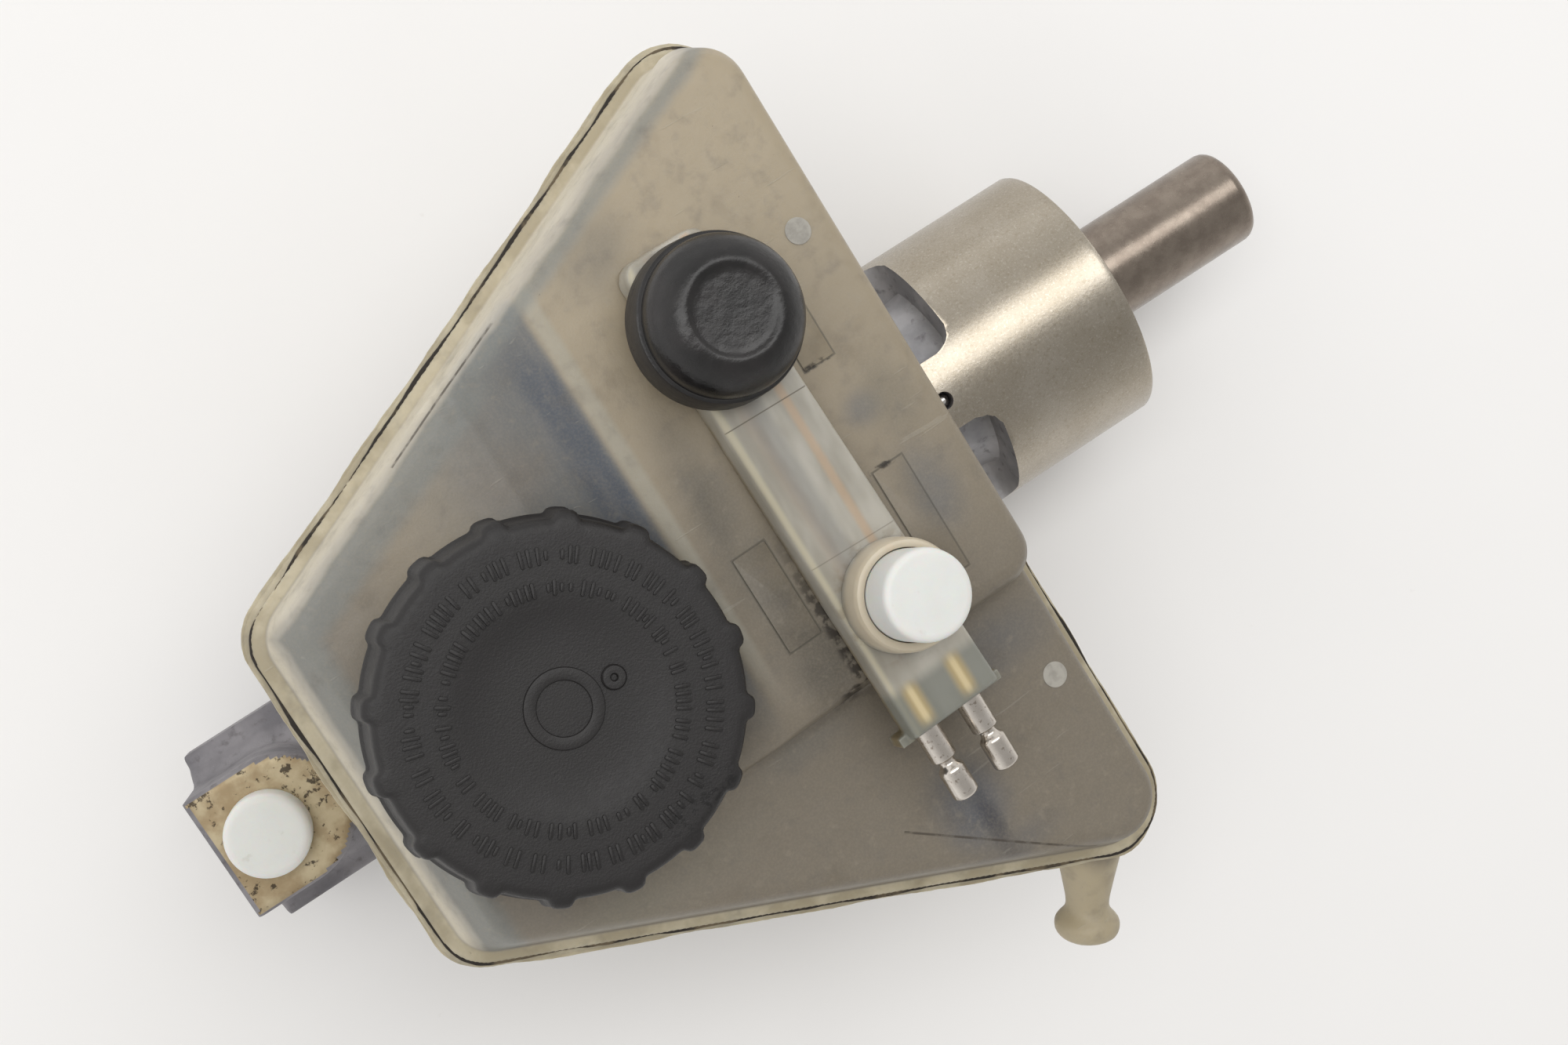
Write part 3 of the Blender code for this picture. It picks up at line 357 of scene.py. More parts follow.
def crisp(obj, width, flat=False):
    """Break the sharp edges of a solid with a small bevel; flat keeps a plain face evenly lit."""
    bevel = obj.modifiers.new("edge", "BEVEL")
    bevel.width = width * MM
    bevel.segments = 2
    bevel.limit_method = "ANGLE"
    bevel.angle_limit = math.radians(30.0)
    bevel.harden_normals = flat
    apply_modifiers(obj)
    obj.data.shade_smooth()
    obj.data.set_sharp_from_angle(angle=math.radians(35.0))
    return obj


def join(name, objects):
    """One object from several, each with its own materials."""
    mesh = bpy.data.meshes.new(name)
    bm = bmesh.new()
    slots = []
    for obj in objects:
        piece = obj.data.copy()
        piece.transform(obj.matrix_world)
        offset = []
        for mat in piece.materials:
            if mat not in slots:
                slots.append(mat)
            offset.append(slots.index(mat))
        for polygon in piece.polygons:
            if offset:
                polygon.material_index = offset[min(polygon.material_index, len(offset) - 1)]
        bm.from_mesh(piece)
        bpy.data.meshes.remove(piece)
        bpy.data.objects.remove(obj)
    bm.to_mesh(mesh)
    bm.free()
    for mat in slots:
        mesh.materials.append(mat)
    joined = bpy.data.objects.new(name, mesh)
    bpy.context.scene.collection.objects.link(joined)
    return joined


def paint(obj, *mats):
    obj.data.materials.clear()
    for mat in mats:
        obj.data.materials.append(mat)
    return obj


def on_seam(obj):
    """Move a piece modelled in the seam's frame to its place."""
    obj.matrix_world = SEAM
    return obj


def to_seam(obj):
    """Carry a solid modelled in the CAD frame over to the seam's frame."""
    obj.data.transform(SEAM.inverted())
    return obj


# ---------------------------------------------------------------- materials

class Surface:
    """A Principled material whose colour and relief come from patterns in the piece's own
    coordinates, measured in millimetres."""

    def __init__(self, name):
        self.mat = bpy.data.materials.new(name)
        self.mat.use_nodes = True
        self.tree = self.mat.node_tree
        self.shader = self.tree.nodes["Principled BSDF"]
        self.coordinates = self.node("ShaderNodeTexCoord")
        self.place = self.vector("SCALE", self.coordinates.outputs["Object"], scale=1.0 / MM)
        self.x, self.y, self.z = self.node("ShaderNodeSeparateXYZ", (self.place,)).outputs
        normal = self.coordinates.outputs["Normal"]
        self.nz = self.node("ShaderNodeSeparateXYZ", (normal,)).outputs[2]

    def node(self, kind, inputs=(), **settings):
        made = self.tree.nodes.new(kind)
        for key, value in settings.items():
            setattr(made, key, value)
        for number, value in enumerate(inputs):
            self.feed(made.inputs[number], value)
        return made

    def feed(self, socket, value):
        if isinstance(value, bpy.types.NodeSocket):
            self.tree.links.new(value, socket)
        else:
            socket.default_value = value

    def vector(self, operation, a, b=(0.0, 0.0, 0.0), scale=1.0):
        made = self.node("ShaderNodeVectorMath", (a, b), operation=operation)
        if operation == "SCALE":
            made.inputs["Scale"].default_value = scale
        return made.outputs[0]

    def math(self, operation, a, b=0.0):
        return self.node("ShaderNodeMath", (a, b), operation=operation).outputs[0]

    def scaled(self, value, amount, base):
        return self.math("ADD", self.math("MULTIPLY", value, amount), base)

    def step(self, value, low, high):
        """0 below low and 1 above high, with a smooth rise between; high may be the lower."""
        rise = self.node("ShaderNodeMapRange", interpolation_type="SMOOTHSTEP")
        ends = (value, low, high, 0.0, 1.0) if low < high else (value, high, low, 1.0, 0.0)
        for socket, setting in zip(rise.inputs, ends):
            self.feed(socket, setting)
        return rise.outputs[0]

    def both(self, *masks):
        """Where all the masks are."""
        product = masks[0]
        for mask in masks[1:]:
            product = self.math("MULTIPLY", product, mask)
        return product

    def either(self, *masks):
        """Where any of the masks is."""
        most = masks[0]
        for mask in masks[1:]:
            most = self.math("MAXIMUM", most, mask)
        return most

    def band(self, value, centre, half, soft):
        """1 within half of centre, falling to 0 over soft."""
        away = self.math("ABSOLUTE", self.math("SUBTRACT", value, centre))
        return self.step(away, half + soft, half)

    def spot(self, centre, size, soft=0.6):
        """A soft ellipsoid: 1 in its middle, 0 at its edge."""
        away = self.vector("SUBTRACT", self.place, centre)
        scaled = self.vector("DIVIDE", away, size)
        length = self.node("ShaderNodeVectorMath", (scaled,), operation="LENGTH").outputs["Value"]
        return self.step(length, 1.0, 1.0 - soft)

    def noise(self, size, detail=3.0, roughness=0.55, stretch=None, warp=0.0):
        """Noise whose features are about size millimetres across, from 0 to 1."""
        place = self.vector("MULTIPLY", self.place, stretch) if stretch else self.place
        made = self.node("ShaderNodeTexNoise")
        self.feed(made.inputs["Vector"], place)
        made.inputs["Scale"].default_value = 1.0 / size
        made.inputs["Detail"].default_value = detail
        made.inputs["Roughness"].default_value = roughness
        made.inputs["Distortion"].default_value = warp
        return made.outputs[0]

    def mix(self, share, a, b):
        made = self.node("ShaderNodeMix", data_type="RGBA", clamp_factor=True)
        for number, value in ((0, share), (6, a), (7, b)):
            if isinstance(value, tuple):
                value = (*value, 1.0)
            self.feed(made.inputs[number], value)
        return made.outputs[2]

    def blend(self, share, first, second):
        """Between two sRGB tones, by share."""
        return self.mix(share, grade(first), grade(second))

    def tint(self, colour, mask, amount, tone):
        """Mix an sRGB tone into colour, by amount where the mask is 1."""
        return self.mix(self.math("MULTIPLY", mask, amount), colour, grade(tone))

    def speckle(self, colour, tone, size, low, high, amount):
        """Mix an sRGB tone into colour where noise passes from low to high."""
        return self.tint(colour, self.step(self.noise(size), low, high), amount, tone)

    def bump(self, height, depth, under=None):
        """A normal from a height of 0 to 1 that stands for depth millimetres."""
        made = self.node("ShaderNodeBump")
        made.inputs["Strength"].default_value = 1.0
        made.inputs["Distance"].default_value = depth * MM
        self.feed(made.inputs["Height"], height)
        if under:
            self.feed(made.inputs["Normal"], under)
        return made.outputs[0]

    def finish(self, colour, roughness, normal, metallic=0.0, **settings):
        self.feed(self.shader.inputs["Base Color"], colour)
        self.feed(self.shader.inputs["Roughness"], roughness)
        self.feed(self.shader.inputs["Normal"], normal)
        self.feed(self.shader.inputs["Metallic"], metallic)
        for key, value in settings.items():
            self.shader.inputs[key.replace("_", " ")].default_value = value
        return self.mat


def grade(colour):
    """A scene-linear colour from an sRGB one of 0 to 255."""
    shares = [c / 255.0 for c in colour]
    return tuple(c / 12.92 if c <= 0.04045 else ((c + 0.055) / 1.055) ** 2.4 for c in shares)


def inward(s, a, b):
    """The distance in (u, v) from the line through two seam corners, towards the middle."""
    run = (Vector(b) - Vector(a)).normalized()
    across = Vector((-run.y, run.x))
    if across.dot(Vector(a)) > 0.0:
        across = -across
    start = -across.dot(Vector(a))
    sideways = s.math("MULTIPLY", s.x, across.x)
    return s.math("ADD", s.math("ADD", sideways, s.math("MULTIPLY", s.y, across.y)), start)


def panel_edge(s, low, high, slack):
    """A mask for the thin line round a rectangle in (u, v); slack widens the line."""
    middle = tuple((a + b) / 2.0 for a, b in zip(low, high))
    half = tuple((b - a) / 2.0 for a, b in zip(low, high))
    across = s.math("SUBTRACT", s.math("ABSOLUTE", s.math("SUBTRACT", s.x, middle[0])), half[0])
    along = s.math("SUBTRACT", s.math("ABSOLUTE", s.math("SUBTRACT", s.y, middle[1])), half[1])
    return s.band(s.math("MAXIMUM", across, along), 0.05, slack, 0.16)


def slanted(s, start, end, half, soft):
    """A mask for a thin straight line between two points in (u, v)."""
    run = Vector(end) - Vector(start)
    length = run.length
    run.normalize()
    u = s.math("SUBTRACT", s.x, start[0])
    v = s.math("SUBTRACT", s.y, start[1])
    along = s.math("ADD", s.math("MULTIPLY", u, run.x), s.math("MULTIPLY", v, run.y))
    across = s.math("SUBTRACT", s.math("MULTIPLY", u, run.y), s.math("MULTIPLY", v, run.x))
    return s.both(s.band(across, 0.0, half, soft), s.band(along, length / 2.0, length / 2.0, 0.4))


def hollow_shade(s, colour, cloud, blotch):
    """Painted shade: blue-grey where the plastic is seen over the dark hollow in front of the bar's step,
    with a darker band and darker patches, and a painted highlight along the step's edge.
    """
    front = TIER_FRONT_U
    before = s.both(s.step(s.x, front + 0.4, front - 1.6), s.step(s.z, 9.0, LOW_TIER_W))
    hollow_shade_mask = s.both(s.step(s.scaled(cloud, 14.0, s.x), -34.0, 2.0), before)
    hollow_shade_mask = s.both(hollow_shade_mask, s.step(s.y, -34.0, -10.0))
    # Painted shade: blue-grey over the dark hollow.
    colour = s.tint(colour, hollow_shade_mask, 0.9, (104, 107, 109))
    # Painted shade: a darker blue band just in front of the step.
    ridge = s.both(s.band(s.x, front - 3.8, 1.4, 4.0), before, s.step(s.y, -24.0, 6.0))
    ridge = s.both(ridge, s.step(s.y, 58.0, 44.0), blotch)
    colour = s.tint(colour, ridge, 0.8, (78, 85, 96))
    # Painted shade: darker patches where other hollows show through.
    for centre, size, tone, amount in NYLON_SHADE_PATCHES:
        colour = s.tint(colour, s.both(s.spot(centre, size, 0.85), blotch), amount, tone)
    streak = s.noise(5.0, 3.0, stretch=(1.0, 0.18, 1.0), warp=0.3)
    # Painted highlight along the step's edge.
    ridge_highlight = s.both(s.band(s.x, front + 1.4, 0.7, 1.5), s.step(s.z, 19.0, 21.0), s.step(s.y, -28.0, -6.0))
    colour = s.tint(colour, ridge_highlight, 0.5, (166, 164, 152))
    # Paler streaks within the painted shade over the hollow.
    return s.tint(colour, s.both(hollow_shade_mask, s.step(streak, 0.5, 0.7)), 0.25, (136, 132, 126))


def edge_light_shade_and_lip(s, colour):
    """Paler bands of painted light along the front and left edges, with a blue-grey band of painted shade
    inside them; the cream lip, and the paler lower shell.
    """
    front, near, _, left = SEAM_CORNERS
    border = s.math("MINIMUM", inward(s, left, front), inward(s, front, near))
    border = s.scaled(s.noise(12.0), 1.6, border)
    above = s.step(s.z, LIP_THICK, LIP_THICK + 1.0)
    low_part = s.step(s.z, 17.0, 13.0)
    # Painted shade: a blue-grey band on the rounded part inside the edges.
    shoulder = s.either(s.both(s.band(border, 10.0, 1.8, 3.2), low_part), s.band(border, 8.6, 0.3, 2.8))
    colour = s.tint(colour, s.both(shoulder, above), 0.72, (126, 129, 126))
    # Painted highlight on the fillet near the edges.
    colour = s.tint(colour, s.both(s.band(border, 6.4, 0.3, 1.2), above), 0.6, (186, 180, 168))
    # Painted light: the steep wall by the edges made pale as if lit.
    colour = s.tint(colour, s.both(s.step(border, 6.8, 5.2), above), 0.85, (208, 201, 184))
    lip = s.band(s.z, 0.0, LIP_THICK + 0.1, 0.5)
    cream = s.blend(s.step(s.noise(9.0, 4.0), 0.4, 0.65), (168, 157, 131), (196, 186, 160))
    colour = s.mix(s.math("MULTIPLY", lip, 0.9), colour, cream)
    return s.tint(colour, s.step(s.z, -2.0, -6.0), 0.75, (182, 169, 140))


def grime(s, colour, dirt):
    """Dark dirt in the corners by the bar and at the ends of the rear pads."""
    roof = s.step(s.z, HIGH_TIER_W - 1.0, HIGH_TIER_W - 0.4)
    edges = s.both(s.either(*(panel_edge(s, *pad, 0.12) for pad in PADS)), roof)
    colour = s.tint(colour, edges, 0.5, (66, 62, 52))
    base = s.both(s.band(s.x, 19.5, 0.5, 1.4), s.step(s.y, 6.0, -20.0), s.band(s.z, HIGH_TIER_W, 0.8, 1.2))
    foot = s.both(s.band(s.y, TIER_SIDE_V - 1.5, 1.2, 1.8), s.band(s.x, 17.6, 1.6, 2.2))
    ends = s.both(s.band(s.y, 22.2, 0.3, 0.5), s.band(s.x, 43.6, 2.4, 1.2), roof)
    tail = s.both(s.band(s.y, 0.1, 0.3, 0.5), s.band(s.x, 43.6, 2.0, 1.2), roof)
    return s.tint(colour, s.both(s.either(base, foot, ends, tail), dirt), 0.9, (36, 28, 20))


def aged_nylon():
    """Milky reservoir plastic with painted light and shade: beige where it is lit through, blue-grey over
    the dark hollow.
    """
    s = Surface("aged_nylon")
    cloud = s.noise(26.0, 3.0, 0.6, warp=0.5)
    # Painted light and shade: lighter towards +v, the lit side, and darker towards the front end (-u).
    colour = s.blend(s.step(s.scaled(cloud, 24.0, s.y), -30.0, 80.0), (120, 112, 99), (168, 155, 132))
    colour = s.mix(s.step(s.x, -14.0, -60.0), colour, grade((130, 123, 112)))
    blotch = s.scaled(s.step(cloud, 0.36, 0.66), 0.55, 0.45)
    colour = hollow_shade(s, colour, cloud, blotch)
    colour = edge_light_shade_and_lip(s, colour)
    colour = s.speckle(colour, (96, 86, 70), 9.0, 0.56, 0.8, 0.3)
    colour = s.speckle(colour, (150, 142, 126), 2.2, 0.55, 0.8, 0.3)
    colour = s.speckle(colour, (96, 92, 88), 4.0, 0.5, 0.8, 0.3)
    colour = s.tint(colour, s.step(s.noise(0.45, 2.0), 0.35, 0.7), 0.1, (168, 158, 140))
    colour = s.speckle(colour, (66, 60, 52), 0.9, 0.74, 0.8, 0.4)
    dirt = s.step(s.noise(2.4, 4.0), 0.4, 0.55)
    colour = grime(s, colour, dirt)
    line = s.either(slanted(s, (13.4, -60.8), (46.0, -88.0), 0.12, 0.2),
                    slanted(s, (-29.0, 46.6), (-2.0, 58.4), 0.1, 0.15))
    scratch = s.step(s.noise(2.6, 2.0, stretch=(0.12, 1.6, 1.0), warp=0.4), 0.7, 0.735)
    colour = s.mix(s.both(line, s.scaled(dirt, 0.4, 0.4)), colour, grade((64, 56, 46)))
    colour = s.tint(colour, scratch, 0.16, (176, 172, 160))
    rough = s.scaled(s.noise(3.0, 4.0), 0.22, 0.36)
    wave = s.bump(s.noise(11.0, 2.0), 0.35, s.bump(s.noise(0.5, 2.0), 0.035))
    relief = s.bump(s.either(scratch, line), 0.03, wave)
    return s.finish(colour, rough, relief, Subsurface_Weight=0.25, Subsurface_Scale=0.003,
                    Subsurface_Radius=(1.0, 0.85, 0.6), IOR=1.5)


def rails_showing(s, colour, top):
    """The two contact rails seen through the hollow bar, with painted shade in the gap between them."""
    front, rear = RAIL_U
    hollow = s.both(s.step(s.y, TIER_SIDE_V - 2.0, TIER_SIDE_V + 6.0), top)
    colour = s.tint(colour, s.both(s.band(s.x, rear - 0.8, 0.25, 1.1), hollow), 0.65, (186, 160, 132))
    colour = s.tint(colour, s.both(s.band(s.x, front + 1.2, 0.4, 1.8), hollow), 0.35, (158, 142, 126))
    # Painted shade in the hollow between the rails.
    return s.tint(colour, s.both(s.band(s.x, 27.2, 0.8, 2.2), hollow), 0.4, (112, 113, 112))


def shanks_showing(s, colour, top):
    """The greyer solid end of the bar, with the pins' brassy shanks seen through it and a painted highlight
    along each.
    """
    solid = s.step(s.y, -33.0, -36.0)
    colour = s.tint(colour, solid, 0.7, (106, 110, 103))
    for u in RAIL_U:
        shank = s.both(s.band(s.x, u, 0.7, 1.8), solid, top, s.step(s.y, -43.6, -40.0))
        colour = s.tint(colour, shank, 0.75, (186, 164, 116))
        # Painted highlight along the middle of each shank.
        core = s.both(s.band(s.x, u, 0.2, 0.8), solid, top, s.step(s.y, -43.0, -40.5))
        colour = s.tint(colour, core, 0.6, (226, 210, 170))
    return colour


def bar_nylon():
    """The clearer moulding of the contact bar, with the rails and pins showing through it."""
    s = Surface("bar_nylon")
    cloud = s.noise(14.0, 3.0, stretch=(1.6, 0.5, 1.0))
    colour = s.blend(s.step(cloud, 0.35, 0.65), (150, 145, 133), (180, 176, 166))
    top = s.step(s.nz, 0.5, 0.9)
    colour = rails_showing(s, colour, top)
    # Painted highlight along the bar's front edge.
    colour = s.tint(colour, s.both(s.band(s.x, 20.9, 0.4, 0.9), top), 0.6, (192, 184, 158))
    colour = shanks_showing(s, colour, top)
    collar = s.spot((*SOCKET_UV, BAR_TOP), (14.0, 14.0, 6.0), 0.35)
    stain = s.both(collar, s.step(s.noise(3.0, 4.0), 0.48, 0.62))
    colour = s.tint(colour, stain, 0.45, (120, 104, 80))
    ring = s.spot((*SOCKET_UV, BAR_TOP + 5.0), (13.5, 13.5, 8.0), 0.25)
    ring = s.both(ring, s.step(s.z, BAR_TOP, BAR_TOP + 1.5))
    colour = s.tint(colour, ring, 0.8, (204, 192, 170))
    seam = s.band(s.scaled(s.x, 0.03, s.y), 21.5, 0.05, 0.12)
    lower = s.band(s.scaled(s.x, 0.05, s.y), -6.5, 0.05, 0.12)
    lines = s.either(s.math("MULTIPLY", seam, 0.8), s.math("MULTIPLY", lower, 0.4))
    colour = s.mix(s.both(lines, top), colour, grade((92, 84, 70)))
    foot = s.both(s.step(s.z, 24.4, 22.6), s.step(s.noise(6.0, 3.0), 0.35, 0.6))
    colour = s.tint(colour, foot, 0.7, (118, 98, 56))
    rough = s.scaled(s.noise(4.0, 4.0), 0.2, 0.24)
    fine = s.bump(s.noise(0.5, 2.0), 0.02)
    normal = s.bump(s.noise(7.0, 2.0, stretch=(1.5, 0.4, 1.0)), 0.25, fine)
    return s.finish(colour, rough, normal, Subsurface_Weight=0.4, Subsurface_Scale=0.003,
                    Subsurface_Radius=(1.0, 0.9, 0.7), IOR=1.5)


def mark_nylon():
    """The paler skin of the round marks where the mould's pins pressed."""
    s = Surface("mark_nylon")
    colour = s.blend(s.step(s.noise(3.0, 3.0), 0.4, 0.6), (150, 146, 138), (168, 164, 155))
    colour = s.speckle(colour, (92, 86, 76), 0.9, 0.66, 0.8, 0.4)
    rough = s.scaled(s.noise(1.0), 0.2, 0.4)
    return s.finish(colour, rough, s.bump(s.noise(0.4, 2.0), 0.03))


def white_plastic():
    s = Surface("white_plastic")
    colour = s.blend(s.noise(5.0, 3.0), (218, 220, 216), (227, 228, 225))
    colour = s.speckle(colour, (194, 190, 178), 3.2, 0.66, 0.8, 0.5)
    rough = s.scaled(s.noise(2.0), 0.15, 0.42)
    return s.finish(colour, rough, s.bump(s.noise(0.4, 2.0), 0.02), Subsurface_Weight=0.3,
                    Subsurface_Scale=0.002)


def black_plastic():
    """Spark-grained moulded plastic with dust in the grain and scuffs by the rim."""
    s = Surface("black_plastic")
    colour = s.blend(s.noise(18.0, 3.0), (24, 22, 22), (31, 28, 28))
    colour = s.speckle(colour, (52, 49, 47), 0.7, 0.6, 0.78, 0.4)
    scuff = s.spot((-16.0, -29.0, 36.0), (17.0, 6.0, 12.0), 0.9)
    scuff = s.both(scuff, s.step(s.noise(1.6, 5.0, 0.7), 0.48, 0.56))
    colour = s.tint(colour, scuff, 0.85, (14, 13, 13))
    rough = s.scaled(s.noise(1.4, 4.0), 0.2, 0.42)
    rough = s.math("SUBTRACT", rough, s.math("MULTIPLY", scuff, 0.2))
    normal = s.bump(s.noise(0.42, 2.0, 0.6), 0.07)
    return s.finish(colour, rough, normal, Specular_IOR_Level=0.5)


def black_rubber():
    """Semi-gloss rubber, smoother on the dome, dusty and finely cracked on the skirt."""
    s = Surface("black_rubber")
    colour = s.blend(s.step(s.noise(9.0, 4.0), 0.35, 0.7), (20, 19, 19), (34, 31, 31))
    colour = s.speckle(colour, (90, 85, 80), 0.8, 0.7, 0.85, 0.3)
    rough = s.scaled(s.noise(3.0, 5.0), 0.34, 0.14)
    dusty = s.step(s.z, BAR_TOP + 8.2, BAR_TOP + 7.4)
    colour = s.tint(colour, dusty, 0.6, (48, 45, 43))
    cracks = s.step(s.noise(1.6, 2.0, stretch=(1.0, 1.0, 0.25), warp=0.5), 0.66, 0.7)
    cracks = s.both(cracks, s.step(s.z, BAR_TOP + 7.4, BAR_TOP + 6.6))
    rough = s.math("ADD", rough, s.math("MULTIPLY", dusty, 0.2))
    normal = s.bump(s.noise(2.2, 4.0), 0.14, s.bump(s.noise(0.35, 2.0), 0.02))
    normal = s.bump(s.math("SUBTRACT", 1.0, cracks), 0.25, normal)
    return s.finish(colour, rough, normal, Specular_IOR_Level=0.5)


def cast_metal(name="cast_metal", dark=(116, 114, 118), light=(148, 145, 148)):
    """Sand-textured blue-grey casting."""
    s = Surface(name)
    colour = s.blend(s.step(s.noise(14.0, 4.0), 0.3, 0.7), dark, light)
    colour = s.speckle(colour, (78, 72, 72), 2.4, 0.55, 0.75, 0.5)
    colour = s.speckle(colour, (196, 194, 192), 0.9, 0.68, 0.8, 0.35)
    rough = s.scaled(s.noise(2.0, 4.0), 0.2, 0.46)
    normal = s.bump(s.noise(1.3, 4.0, 0.65), 0.16, s.bump(s.noise(9.0, 2.0), 0.3))
    return s.finish(colour, rough, normal, 0.45)


def machined_metal():
    """Satin turned aluminium with a mottled, slightly stained skin."""
    s = Surface("machined_metal")
    colour = s.blend(s.step(s.noise(16.0, 4.0), 0.3, 0.7), (166, 157, 142), (178, 170, 157))
    colour = s.speckle(colour, (146, 134, 114), 0.7, 0.5, 0.78, 0.5)
    colour = s.speckle(colour, (212, 206, 196), 0.45, 0.52, 0.8, 0.5)
    rough = s.scaled(s.noise(0.8, 4.0), 0.14, 0.2)
    lines = s.noise(0.3, 3.0, stretch=(1.0, 0.02, 0.02))
    normal = s.bump(lines, 0.003, s.bump(s.noise(0.6, 3.0), 0.014))
    return s.finish(colour, rough, normal, 1.0)


def stained_face():
    """A machined face gone yellow-brown, with dark corrosion spots."""
    s = Surface("stained_face")
    colour = s.blend(s.step(s.noise(6.0, 4.0), 0.35, 0.65), (160, 141, 110), (190, 176, 146))
    spots = s.step(s.noise(2.6, 5.0, 0.68), 0.57, 0.64)
    colour = s.tint(colour, spots, 0.85, (44, 34, 26))
    rough = s.scaled(s.noise(1.8), 0.25, 0.4)
    normal = s.bump(spots, 0.05, s.bump(s.noise(0.7, 3.0), 0.03))
    return s.finish(colour, rough, normal, 0.55)


def bronze_anodised():
    s = Surface("bronze_anodised")
    colour = s.blend(s.step(s.noise(4.0, 4.0), 0.35, 0.65), (132, 121, 111), (146, 135, 124))
    colour = s.speckle(colour, (172, 160, 147), 0.6, 0.6, 0.76, 0.4)
    colour = s.speckle(colour, (112, 103, 96), 0.9, 0.6, 0.75, 0.3)
    rough = s.scaled(s.noise(1.2, 4.0), 0.12, 0.22)
    lines = s.noise(0.25, 2.0, stretch=(1.0, 0.03, 0.03))
    return s.finish(colour, rough, s.bump(lines, 0.008, s.bump(s.noise(0.6, 3.0), 0.015)), 0.95)


def plated_steel(name="plated_steel", shade=(196, 188, 178), rough_low=0.12):
    s = Surface(name)
    colour = s.blend(s.noise(3.0, 4.0), shade, (222, 216, 208))
    # Brown spots: real tarnish, with painted reflection of the brown plastic round the pins.
    colour = s.speckle(colour, (110, 92, 74), 0.9, 0.58, 0.7, 0.6)
    rough = s.scaled(s.noise(0.9, 4.0), 0.22, rough_low)
    normal = s.bump(s.noise(0.55, 4.0, 0.7), 0.02)
    return s.finish(colour, rough, normal, 1.0)


def spring_steel():
    s = Surface("spring_steel")
    colour = s.blend(s.noise(4.0, 3.0), (96, 96, 100), (150, 150, 152))
    rough = s.scaled(s.noise(1.0), 0.2, 0.28)
    return s.finish(colour, rough, s.bump(s.noise(0.5), 0.01), 1.0)


def brass():
    s = Surface("brass")
    colour = s.blend(s.noise(5.0, 3.0), (190, 152, 92), (218, 186, 122))
    colour = s.speckle(colour, (110, 84, 48), 1.5, 0.6, 0.8, 0.5)
    rough = s.scaled(s.noise(1.2), 0.2, 0.25)
    return s.finish(colour, rough, s.bump(s.noise(0.6), 0.01), 1.0)


def seam_dirt():
    s = Surface("seam_dirt")
    colour = s.blend(s.step(s.noise(7.0, 4.0), 0.5, 0.62), (34, 27, 20), (96, 84, 64))
    return s.finish(colour, s.scaled(s.noise(2.0), 0.2, 0.6), s.bump(s.noise(0.8), 0.08))


def floor_finish():
    s = Surface("studio_floor")
    colour = s.blend(s.noise(60.0, 2.0), (245, 244, 243), (248, 247, 246))
    colour = s.speckle(colour, (236, 233, 231), 5.0, 0.74, 0.8, 0.4)
    return s.finish(colour, 0.6, s.bump(s.noise(30.0), 0.05))


def make_materials():
    return {
        "nylon": aged_nylon(),
        "bar": bar_nylon(),
        "mark": mark_nylon(),
        "white": white_plastic(),
        "black": black_plastic(),
        "rubber": black_rubber(),
        "cast": cast_metal(),
        # Painted light: a paler copy of the cast finish for the pockets, which lie in shade.
        "pocket": cast_metal("pocket_cast_lit", (150, 150, 154), (196, 195, 198)),
        "machined": machined_metal(),
        "stained": stained_face(),
        "bronze": bronze_anodised(),
        "steel": plated_steel("bright_steel", (196, 196, 196), 0.1),
        "pin": plated_steel(),
        "spring": spring_steel(),
        "brass": brass(),
        "dirt": seam_dirt(),
    }


# ---------------------------------------------------------------- casting

def tube_solid():
    """The tube round the bore, widening into the barrel at the flange."""
    profile = [
        (BODY_FRONT, 0.0), (BODY_FRONT, BODY_R - 2.5), (BODY_FRONT + 0.8, BODY_R - 0.8),
        (BODY_FRONT + 2.5, BODY_R), (-FLANGE_THICK - 5.0, BODY_R),
        (-FLANGE_THICK, BODY_R + 4.0), (-1.2, BARREL_R - 1.0), (-1.2, 0.0),
    ]
    return turned("tube", profile, (0.0, 0.0, 0.0), (1.0, 0.0, 0.0))


def mounting_flange():
    """An oval plate with an ear on each side."""
    lean = math.acos((BARREL_R + 1.0 - EAR_R) / EAR_OFFSET)
    outline = arc((0.0, 0.0), BARREL_R + 1.0, lean, math.pi - lean, 28)
    outline += arc((-EAR_OFFSET, 0.0), EAR_R, math.pi - lean, math.pi + lean, 24)
    outline += arc((0.0, 0.0), BARREL_R + 1.0, math.pi + lean, 2.0 * math.pi - lean, 28)
    outline += arc((EAR_OFFSET, 0.0), EAR_R, -lean, lean, 24)
    return loft("flange_plate", [[(x, y, z) for y, z in outline] for x in (-FLANGE_THICK, 0.0)])


def casting_additions():
    """Flange, outlet bosses, side ribs, reservoir seats, lug and stop boss."""
    outline = [(BODY_FRONT, -TOP_BOSS_HALF)]
    outline += arc((TOP_PORT_X + 3.0, 0.0), TOP_BOSS_HALF, -math.pi / 2.0, math.pi / 2.0, 32)
    outline.append((BODY_FRONT, TOP_BOSS_HALF))
    parts = [mounting_flange(), prism("top_boss", outline, 5.0, TOP_PORT_FACE)]
    for side in (-1.0, 1.0):
        low = min(side * 15.5, side * 19.6)
        parts.append(box("side_rib", (BODY_FRONT + 1.0, low, 2.0), (-20.0, low + 4.1, 9.0)))
    for x in SEAT_X:
        parts.append(rod("seat_boss", SEAT_R + 3.5, (x, 0.0, 6.0), (x, 0.0, SEAT_TOP)))
    parts.append(rod("side_boss", 12.0, (SIDE_PORT_X, 6.0, 0.0), (SIDE_PORT_X, SIDE_PORT_FACE, 0.0)))
    parts.append(box("lug", (LUG_X - 6.0, -4.0, 12.0), (LUG_X + 6.0, 4.0, LUG_Z + 4.5)))
    parts.append(rod("stop_boss", 6.0, (STOP_X, 0.0, -21.5), (STOP_X, 0.0, -14.0)))
    return parts


